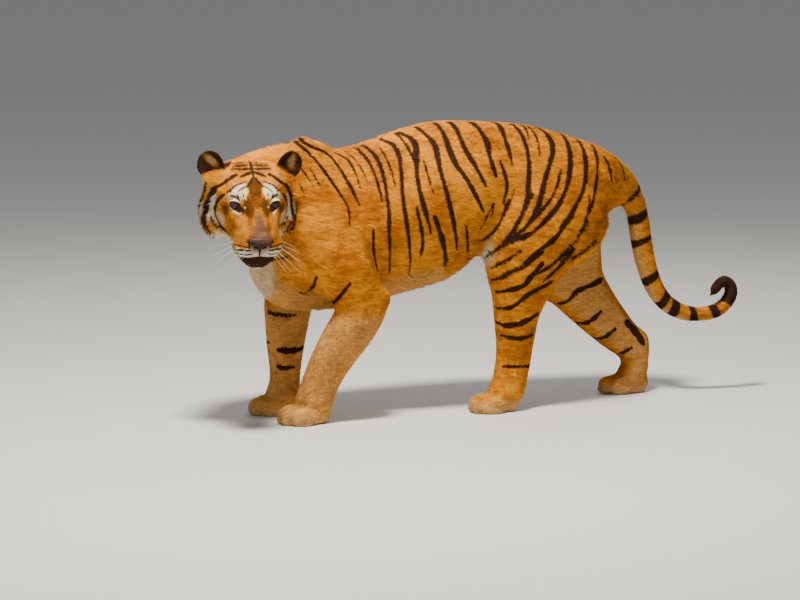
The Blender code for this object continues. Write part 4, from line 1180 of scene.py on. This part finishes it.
rng = np.random.default_rng(tufts["seed"])
density = coat[:, 7]
roots, rootNormals, rootUvs, areas = skinSamples(tufts["total"], rng)
eyeRing = np.minimum(*(fromEye(roots, side)[2] for side in (-1, 1)))
keep = (eyeRing > tufts["eyeGap"]) & ~onNose(roots)
bareSpots = marksAt(roots, rootNormals)
keep &= rng.random(len(roots)) > bareSpots[:, 3] * 0.35
roots, rootNormals, rootUvs, rootMarks = (v[keep] for v in (roots, rootNormals, rootUvs, bareSpots))
print("skin area", round(float(areas.sum()), 2), "m2,", len(roots), "tufts")
lie = coatAt(roots)
ways = along(lie[:, :3], rootNormals)
side = np.cross(rootNormals, ways)
turn = rng.normal(0, tufts["jitter"], len(roots))
clump = np.sin(roots[:, 0] * 61 + 2 * np.sin(roots[:, 2] * 47)) * np.sin(roots[:, 2] * 53 + roots[:, 1] * 39)
turn = turn + 0.18 * clump
ways = unit(ways * np.cos(turn)[:, None] + side * np.sin(turn)[:, None])
sizes = lie[:, 3:6] * rng.uniform(0.75, 1.2, (len(roots), 3))
sizes[:, 0] *= 1 - 0.5 * rootMarks[:, 3]
tips = roots + ways * sizes[:, :1]
conform = np.empty_like(tips)
for index, tip in enumerate(tips):   # each tip is laid back on the skin, so tufts follow its curves
    conform[index] = skinTree.find_nearest(Vector(tip))[0]
ways = conform - roots
reach = np.linalg.norm(ways, axis=1)
short = reach < sizes[:, 0] * 0.5
ways[short] = (tips - roots)[short]
sizes[:, 0] = np.minimum(sizes[:, 0], np.maximum(reach, sizes[:, 0] * 0.5))
ways = unit(ways)
rootMarks, tipMarks = (   # the coat shows its outer half, so that is where a tuft takes its colours
    marksAt(roots + ways * sizes[:, :1] * share, rootNormals) for share in (0.40, 0.85))
tones = np.clip(0.5 + rng.normal(0, 0.22, len(roots)) + 0.12 * clump, 0, 1)

localRoots = toHead(roots)
isHead = (localRoots[:, 0] > -0.17) & (np.abs(localRoots - head["middle"]) < 0.2).all(1)
x, y, z = roots.T
regions = {"head": isHead}
taken = isHead.copy()
for name, test in (
    ("tail", (x > 0.775) & (np.abs(y) < 0.08) & ((z > 0.44) | (x > 0.95) | (np.abs(y) < 0.06))),
    ("hind_legs", (x > 0.12) & (z < 0.60)), ("fore_legs", (x <= 0.0) & (z < 0.46)),
    ("neck", x < -0.42), ("shoulders", x < -0.20), ("flanks", x < 0.22), ("hips", x > -9.0),
):
    regions[name] = test & ~taken
    taken |= test
coatPieces = []
for name, chosen in regions.items():
    members = np.flatnonzero(chosen)
    if not len(members):
        continue
    long = rng.random(len(members)) < longHair["share"] * ramp(sizes[members, 2], 0.004, 0.008)
    for kind, some in (("", members[~long]), ("_locks", members[long])):
        if len(some) < longHair["fewest"]:
            continue
        bends = kind != ""
        sized = sizes[some] * ((longHair["stretch"], 1.1, longHair["lift"]) if bends else (1, 1, 1))
        parts = -(-len(some) * (10 if bends else 4) // tufts["mostTriangles"])
        for number, group in enumerate(np.array_split(np.arange(len(some)), parts)):
            rows = some[group]
            title = "coat_" + name + kind + (f"_{number + 1}" if parts > 1 else "")
            coatPieces.append(tuftMesh(
                title, roots[rows], rootNormals[rows], ways[rows], sized[group], rootUvs[rows],
                rootMarks[rows], tipMarks[rows], tones[rows], bends))
print(len(coatPieces), "coat pieces,", sum(len(p.data.polygons) for p in coatPieces), "triangles")


# eyes: a ball with a raised cornea, and lids laid round an almond opening
def eyeBall(side):
    bm = bmesh.new()
    bmesh.ops.create_uvsphere(bm, u_segments=48, v_segments=32, radius=head["eyeRadius"])
    bmesh.ops.rotate(bm, cent=(0, 0, 0), matrix=Matrix.Rotation(math.radians(90), 3, "Y"), verts=bm.verts)
    for vert in bm.verts:
        off = math.hypot(vert.co.y, vert.co.z)
        if vert.co.x > 0 and off < head["cornea"]:
            vert.co.x += head["bulge"] * (1 - (off / head["cornea"])**2)
    ball = meshObject("eyeball_left" if side > 0 else "eyeball_right", bm)
    x, y, z = pointsOf(ball.data).T
    off = np.where(x > 0, np.hypot(y, z), 0.03)
    around = np.arctan2(z, y) / math.tau + 0.5
    colourLayer(ball.data, "iris", np.stack((off * 40, around, x * 0, x * 0 + 1), axis=1))
    ball.data.transform(eyeFrame(side))
    if side < 0:
        ball.data.flip_normals()
    smoothed(ball.data)
    return ball


lidShape = {"rim": 0.0196, "fat": 0.0016, "outerHalf": 0.0250, "outerTall": 0.0180, "rows": 7, "around": 48}


def almond(angle, grow=1.0):   # the opening's edge: pointed at both corners, the lower one by the nose
    across = -math.cos(angle)
    tall = math.copysign(abs(math.sin(angle))**1.15, math.sin(angle))
    low = 1.0 if tall > 0 else 0.92
    inner = max(-across - 0.55, 0) / 0.45   # the inner corner runs down towards the nose
    y = eyeOpening["aside"] + eyeOpening["half"] * grow * across * (1 + 0.06 * inner)
    z = eyeOpening["lift"] + eyeOpening["tall"] * grow * tall * low
    return y, z - 0.0008 * across**2 - 0.0008 * inner


def eyeLid(side):
    bm = bmesh.new()
    made = grid(bm, lidShape["rows"], lidShape["around"])
    place = eyeFrame(side)
    ahead = place.to_3x3() @ Vector((1, 0, 0))
    clear = lidShape["rim"] + 0.0006
    for vert in made:
        share, angle = (vert.co.x + 1) / 2, (vert.co.y + 1) * math.pi
        y, z = almond(angle)
        x = math.sqrt(max(lidShape["rim"]**2 - y * y - z * z, 1e-6))
        if share < 0.34:   # the rim's rounded edge, from inside the eye outwards
            turn = share / 0.34 * math.pi
            out = lidShape["fat"] * (0.1 + 0.9 * math.sin(turn))
            grow = 1 + 0.11 * (1 - math.cos(turn)) / 2
            point = place @ Vector((x - 0.0012 + out, y * grow, z * grow))
        else:
            blend = (share - 0.34) / 0.66
            edge = place @ Vector((x - 0.0010, y * 1.11, z * 1.11))
            far = place @ Vector(
                (x, -math.cos(angle) * lidShape["outerHalf"], math.sin(angle) * lidShape["outerTall"]))
            hit = skinTree.ray_cast(far + ahead * 0.05, -ahead)[0]
            land = (far if hit is None else hit) - ahead * 0.0025
            point = edge.lerp(land, blend) + ahead * (0.0018 * math.sin(blend * math.pi))
            local = place.inverted() @ point
            if local.length < clear:   # a lid never sinks into the ball
                point = place @ (local.normalized() * clear)
        vert.co = point
    bmesh.ops.remove_doubles(bm, verts=made, dist=1e-6)
    lid = meshObject("lids_left" if side > 0 else "lids_right", bm)
    solid = lid.modifiers.new("thickness", "SOLIDIFY")
    solid.thickness = 0.0015
    solid.offset = -1
    settled(lid)
    points = pointsOf(lid.data)
    marks = marksAt(points, pointsOf(lid.data, "normal"))
    off, local = fromEye(points, side)[:2]
    marks[:, 0] = np.minimum(np.maximum(marks[:, 0], 0.004), off - eyeOpening["rim"])
    pale = 0.9 * (local[:, 0] > 0) * (1 - 0.8 * ramp(local[:, 1], 0.006, 0.020))
    marks[:, 1] = np.maximum(marks[:, 1], pale)
    paint(lid.data, marks)
    colourLayer(lid.data, "strand", np.tile((0.5, 0.3, 0, 1), (len(points), 1)))
    smoothed(lid.data)
    return lid


# the iris's amber is painted very dark, as painted shade over the eye
eyePaint = {
    "pupil": 0.0060, "iris": 0.0112, "inner": (0.042, 0.025, 0.010, 1), "outer": (0.016, 0.010, 0.006, 1),
    "edge": (0.006, 0.004, 0.003, 1), "white": (0.05, 0.03, 0.025, 1),
}
eyeFinish = Finish("eye", Roughness=0.10, Specular_IOR_Level=0.25, Coat_Weight=0.25, Coat_Roughness=0.02)
off, around = eyeFinish.split(eyeFinish.named("iris"))[:2]
rays = eyeFinish.node(
    "ShaderNodeTexNoise", {"noise_dimensions": "1D"}, {"W": around * 60, "Scale": 1.0, "Detail": 3.0})
iris = eyeFinish.mix((off / 40 + (rays - 0.5) * 0.004).step(eyePaint["pupil"], eyePaint["iris"]),
                     eyePaint["inner"], eyePaint["outer"])
iris = eyeFinish.mix(off.step(eyePaint["iris"] * 36, eyePaint["iris"] * 41), iris, eyePaint["edge"])
iris = eyeFinish.mix(off.step(eyePaint["iris"] * 43, eyePaint["iris"] * 47), iris, eyePaint["white"])
iris = eyeFinish.mix(
    1 - off.step(eyePaint["pupil"] * 38, eyePaint["pupil"] * 42), iris, (0.002, 0.002, 0.002, 1))
eyeFinish.give(eyeFinish.shader, {"Base Color": iris})

eyes, lids = {}, {}
for side, name in ((1, "left"), (-1, "right")):
    eyes[name] = eyeBall(side)
    eyeFinish.apply(eyes[name])
    lids[name] = eyeLid(side)
    furSkin.apply(lids[name])
print("eyes and lids")

# nose leather: a broad pad, narrowing down to the groove of the lip, with comma nostrils
nose = {"at": (0.136, 0, -0.064), "half": 0.0410, "tall": 0.0215, "deep": 0.0150, "pitch": 22.0,
        "fineness": 5}


def hump(across, above, reach, tall):   # a flat-topped hump, 1 at its middle
    return np.exp(-((across / reach)**2 + (above / tall)**2)**1.5)


def nosePad():
    bm = bmesh.new()
    bmesh.ops.create_icosphere(bm, subdivisions=nose["fineness"], radius=1)
    for vert in bm.verts:
        x, y, z = vert.co
        square = (abs(y)**3 + abs(z)**3)**(1 / 3) / max(math.hypot(y, z), 1e-6)
        y, z = y / max(square, 0.7), z / max(square, 0.7)
        y *= min(1.0 + 0.62 * z, 1.0)          # the lower half closes to the groove
        z += 0.16 * (1 - abs(y)) * max(z, 0)   # rounded upper edge
        deep = x - 0.30 * y**2
        if x > 0:
            groove = vert.co.z / max(square, 0.7) < 0.1   # down the middle
            deep -= 0.22 * math.exp(-(y / 0.05)**2) * groove
            for side in (-1, 1):   # nostrils: hollow commas that open outwards
                deep -= 0.75 * hump(y - side * 0.52, z + 0.16 + 0.25 * (abs(y) - 0.5), 0.30, 0.30)
                deep -= 0.40 * hump(y - side * 0.80, z + 0.02, 0.20, 0.13)
        vert.co = (deep * nose["deep"], y * nose["half"], z * nose["tall"])
    pad = meshObject("nose_leather", bm)
    x, y, z = (pointsOf(pad.data) / (1, nose["half"], nose["tall"])).T
    y = np.abs(y)
    # where the nostrils get painted shade, and the pad's dark rim and lower part
    hole = np.maximum(hump(y - 0.52, z + 0.18, 0.28, 0.28), 0.8 * hump(y - 0.8, z + 0.04, 0.2, 0.14))
    edge = np.clip((np.hypot(y, z) - 0.70) / 0.25, 0, 1) * (z < 0.3)
    edge = np.maximum(edge, np.clip((0.92 - z) / 0.50, 0, 1))
    colourLayer(pad.data, "hollow", np.stack((hole, edge, x * 0, x * 0 + 1), axis=1))
    pad.data.transform(
        headFrame @ Matrix.Translation(nose["at"]) @ Matrix.Rotation(math.radians(nose["pitch"]), 4, "Y"))
    smoothed(pad.data)
    return pad


noseSkin = nosePad()
noseFinish = Finish("noseLeather", Specular_IOR_Level=0.16)
hollow, edge = noseFinish.split(noseFinish.named("hollow"))[:2]
mottle = noseFinish.noise(160, 3)
colour = noseFinish.mix(mottle.step(0.35, 0.65), (0.090, 0.042, 0.028, 1), (0.058, 0.026, 0.017, 1))
colour = noseFinish.mix((edge * 1.2 + (mottle - 0.5)).step(0.3, 0.9), colour, (0.014, 0.009, 0.008, 1))
# the nostrils near black: painted shade in their hollows
colour = noseFinish.mix(hollow.step(0.15, 0.6), colour, (0.006, 0.003, 0.003, 1))
pebbles = noseFinish.node(
    "ShaderNodeTexVoronoi", {"feature": "SMOOTH_F1"}, {"Vector": noseFinish.place(), "Scale": 700})
noseFinish.give(noseFinish.shader, {
    "Base Color": colour, "Roughness": 0.38 + mottle * 0.2, "Normal": noseFinish.bump(pebbles, 0.35, 0.0006)})
noseFinish.apply(noseSkin)

# whiskers: stiff, pale and drooping, in rows on each pad, and a few on the brow
whiskers = {"radius": 0.00046, "rows": ((-0.086, 2, 0.105), (-0.094, 3, 0.130), (-0.103, 3, 0.120)),
            "brow": ((-0.006, 0.070, 0.046), (-0.010, 0.058, 0.050), (-0.014, 0.046, 0.052)),
            "browLength": 0.045, "droop": -0.55, "browDroop": 0.10, "steps": 9, "seed": 3}


def whiskerMesh():
    rng = np.random.default_rng(whiskers["seed"])
    bm = bmesh.new()
    starts = []
    for side in (-1, 1):
        for z, count, length in whiskers["rows"]:
            for k in range(count):
                share = k / (count - 1)
                out = side * (0.040 + 0.030 * share)
                at = Vector((0.130 - 0.038 * share, out, z + 0.003 * math.sin(k * 2)))
                way = Vector((0.05 - 0.60 * share, side * 0.80, -0.62 - 0.25 * (z < -0.095)))
                size = length * (0.75 + 0.45 * share) * rng.uniform(0.85, 1.1)
                starts.append((at, way, size, whiskers["droop"]))
        for x, y, z in whiskers["brow"]:
            starts.append((Vector((x, side * y, z)), Vector((0.55, side * 0.35, 0.75)),
                           whiskers["browLength"], whiskers["browDroop"]))
    for at, way, length, droop in starts:
        root = Vector(snapped(headFrame @ at))
        way = (headFrame.to_3x3() @ way).normalized()
        way = (way + Vector(rng.normal(0, 0.06, 3))).normalized()
        made = bmesh.ops.create_circle(bm, segments=5, radius=whiskers["radius"], cap_ends=True)["verts"]
        turn = way.to_track_quat("Z", "Y").to_matrix().to_4x4()
        bmesh.ops.transform(bm, matrix=Matrix.Translation(root - way * 0.003) @ turn, verts=made)
        face = made[0].link_faces[0]
        steps = whiskers["steps"]
        for k in range(1, steps + 1):
            share = k / steps
            heading = (way + Vector((0, 0, droop)) * share * 0.35).normalized()
            face = bmesh.ops.extrude_discrete_faces(bm, faces=[face])["faces"][0]
            bmesh.ops.translate(bm, vec=heading * (length / steps), verts=face.verts)
            thin = (1 - 0.8 * share) / max(1 - 0.8 * (k - 1) / steps, 0.05)
            centre = face.calc_center_median()
            bmesh.ops.scale(bm, vec=(thin, thin, thin), space=Matrix.Translation(-centre), verts=face.verts)
    bmesh.ops.remove_doubles(bm, verts=bm.verts, dist=1e-7)
    return meshObject("whiskers", bm)


whiskerPiece = whiskerMesh()
whiskerFinish = Finish("whisker", Roughness=0.35, Specular_IOR_Level=0.5)
streak = whiskerFinish.noise(60, 1)
whiskerFinish.give(whiskerFinish.shader, {"Base Color": whiskerFinish.mix(
    streak, (0.80, 0.76, 0.66, 1), (0.92, 0.90, 0.84, 1))})
whiskerFinish.apply(whiskerPiece)
print("nose and whiskers")

# everything into the imported model's frame, under its root, with the model's own parts hidden
pieces = [skin, noseSkin, whiskerPiece, *eyes.values(), *lids.values(), *coatPieces]
for piece in pieces:
    piece.data.transform(Matrix.Translation(-middle))
    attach(piece, "root")
fleshNodes = [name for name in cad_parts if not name.startswith("eye_") and name != "nose"]
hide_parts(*fleshNodes)
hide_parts("nose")
for name in ("left", "right"):
    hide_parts("eye_" + name)
for piece in coatPieces:
    "coat_tail" if "tail" in piece.name else "coat_orange"

# floor, light and camera
studio = {"floor": (0.66, 0.66, 0.64, 1), "world": (0.84, 0.87, 0.90, 1), "worldStrength": 0.31}
bm = bmesh.new()
bmesh.ops.create_grid(bm, x_segments=1, y_segments=1, size=60.0)
floor = meshObject("floor", bm)
floorFinish = Finish("floor", Base_Color=studio["floor"], Roughness=0.8)
floorFinish.apply(floor)

world = bpy.data.worlds.new("studio")
world.use_nodes = True
backdrop = world.node_tree.nodes["Background"].inputs
backdrop["Color"].default_value = studio["world"]
backdrop["Strength"].default_value = studio["worldStrength"]
bpy.context.scene.world = world


def softLight(name, at, target, size, watts, colour):
    data = bpy.data.lights.new(name, "AREA")
    data.shape = "DISK"
    data.size = size
    data.energy = watts
    data.color = colour
    made = linked(name, data)
    made.location = at
    made.rotation_euler = (Vector(target) - Vector(at)).to_track_quat("-Z", "Y").to_euler()


softLight("key", (-1.3, -1.7, 4.7), (0, 0, 0.5), 0.9, 530, (1.0, 0.94, 0.83))
softLight("fill", (-3.6, -3.4, 1.5), (-0.6, 0, 0.5), 2.4, 30, (0.96, 0.97, 1.0))
softLight("back", (1.8, 3.2, 3.6), (0, 0, 0.6), 2.2, 60, (1.0, 0.97, 0.92))

viewpoint = {"at": (-4.487, -10.991, 1.834), "elevation": 7.0, "azimuth": -22.0, "lens": 160.2}
lens = bpy.data.cameras.new("camera")
lens.lens = viewpoint["lens"]
lens.sensor_width = 36
lens.clip_end = 60
camera = linked("camera", lens)
camera.location = Vector(viewpoint["at"]) - middle
camera.rotation_euler = (math.radians(90 - viewpoint["elevation"]), 0, math.radians(viewpoint["azimuth"]))
bpy.context.scene.camera = camera
bpy.context.view_layer.update()
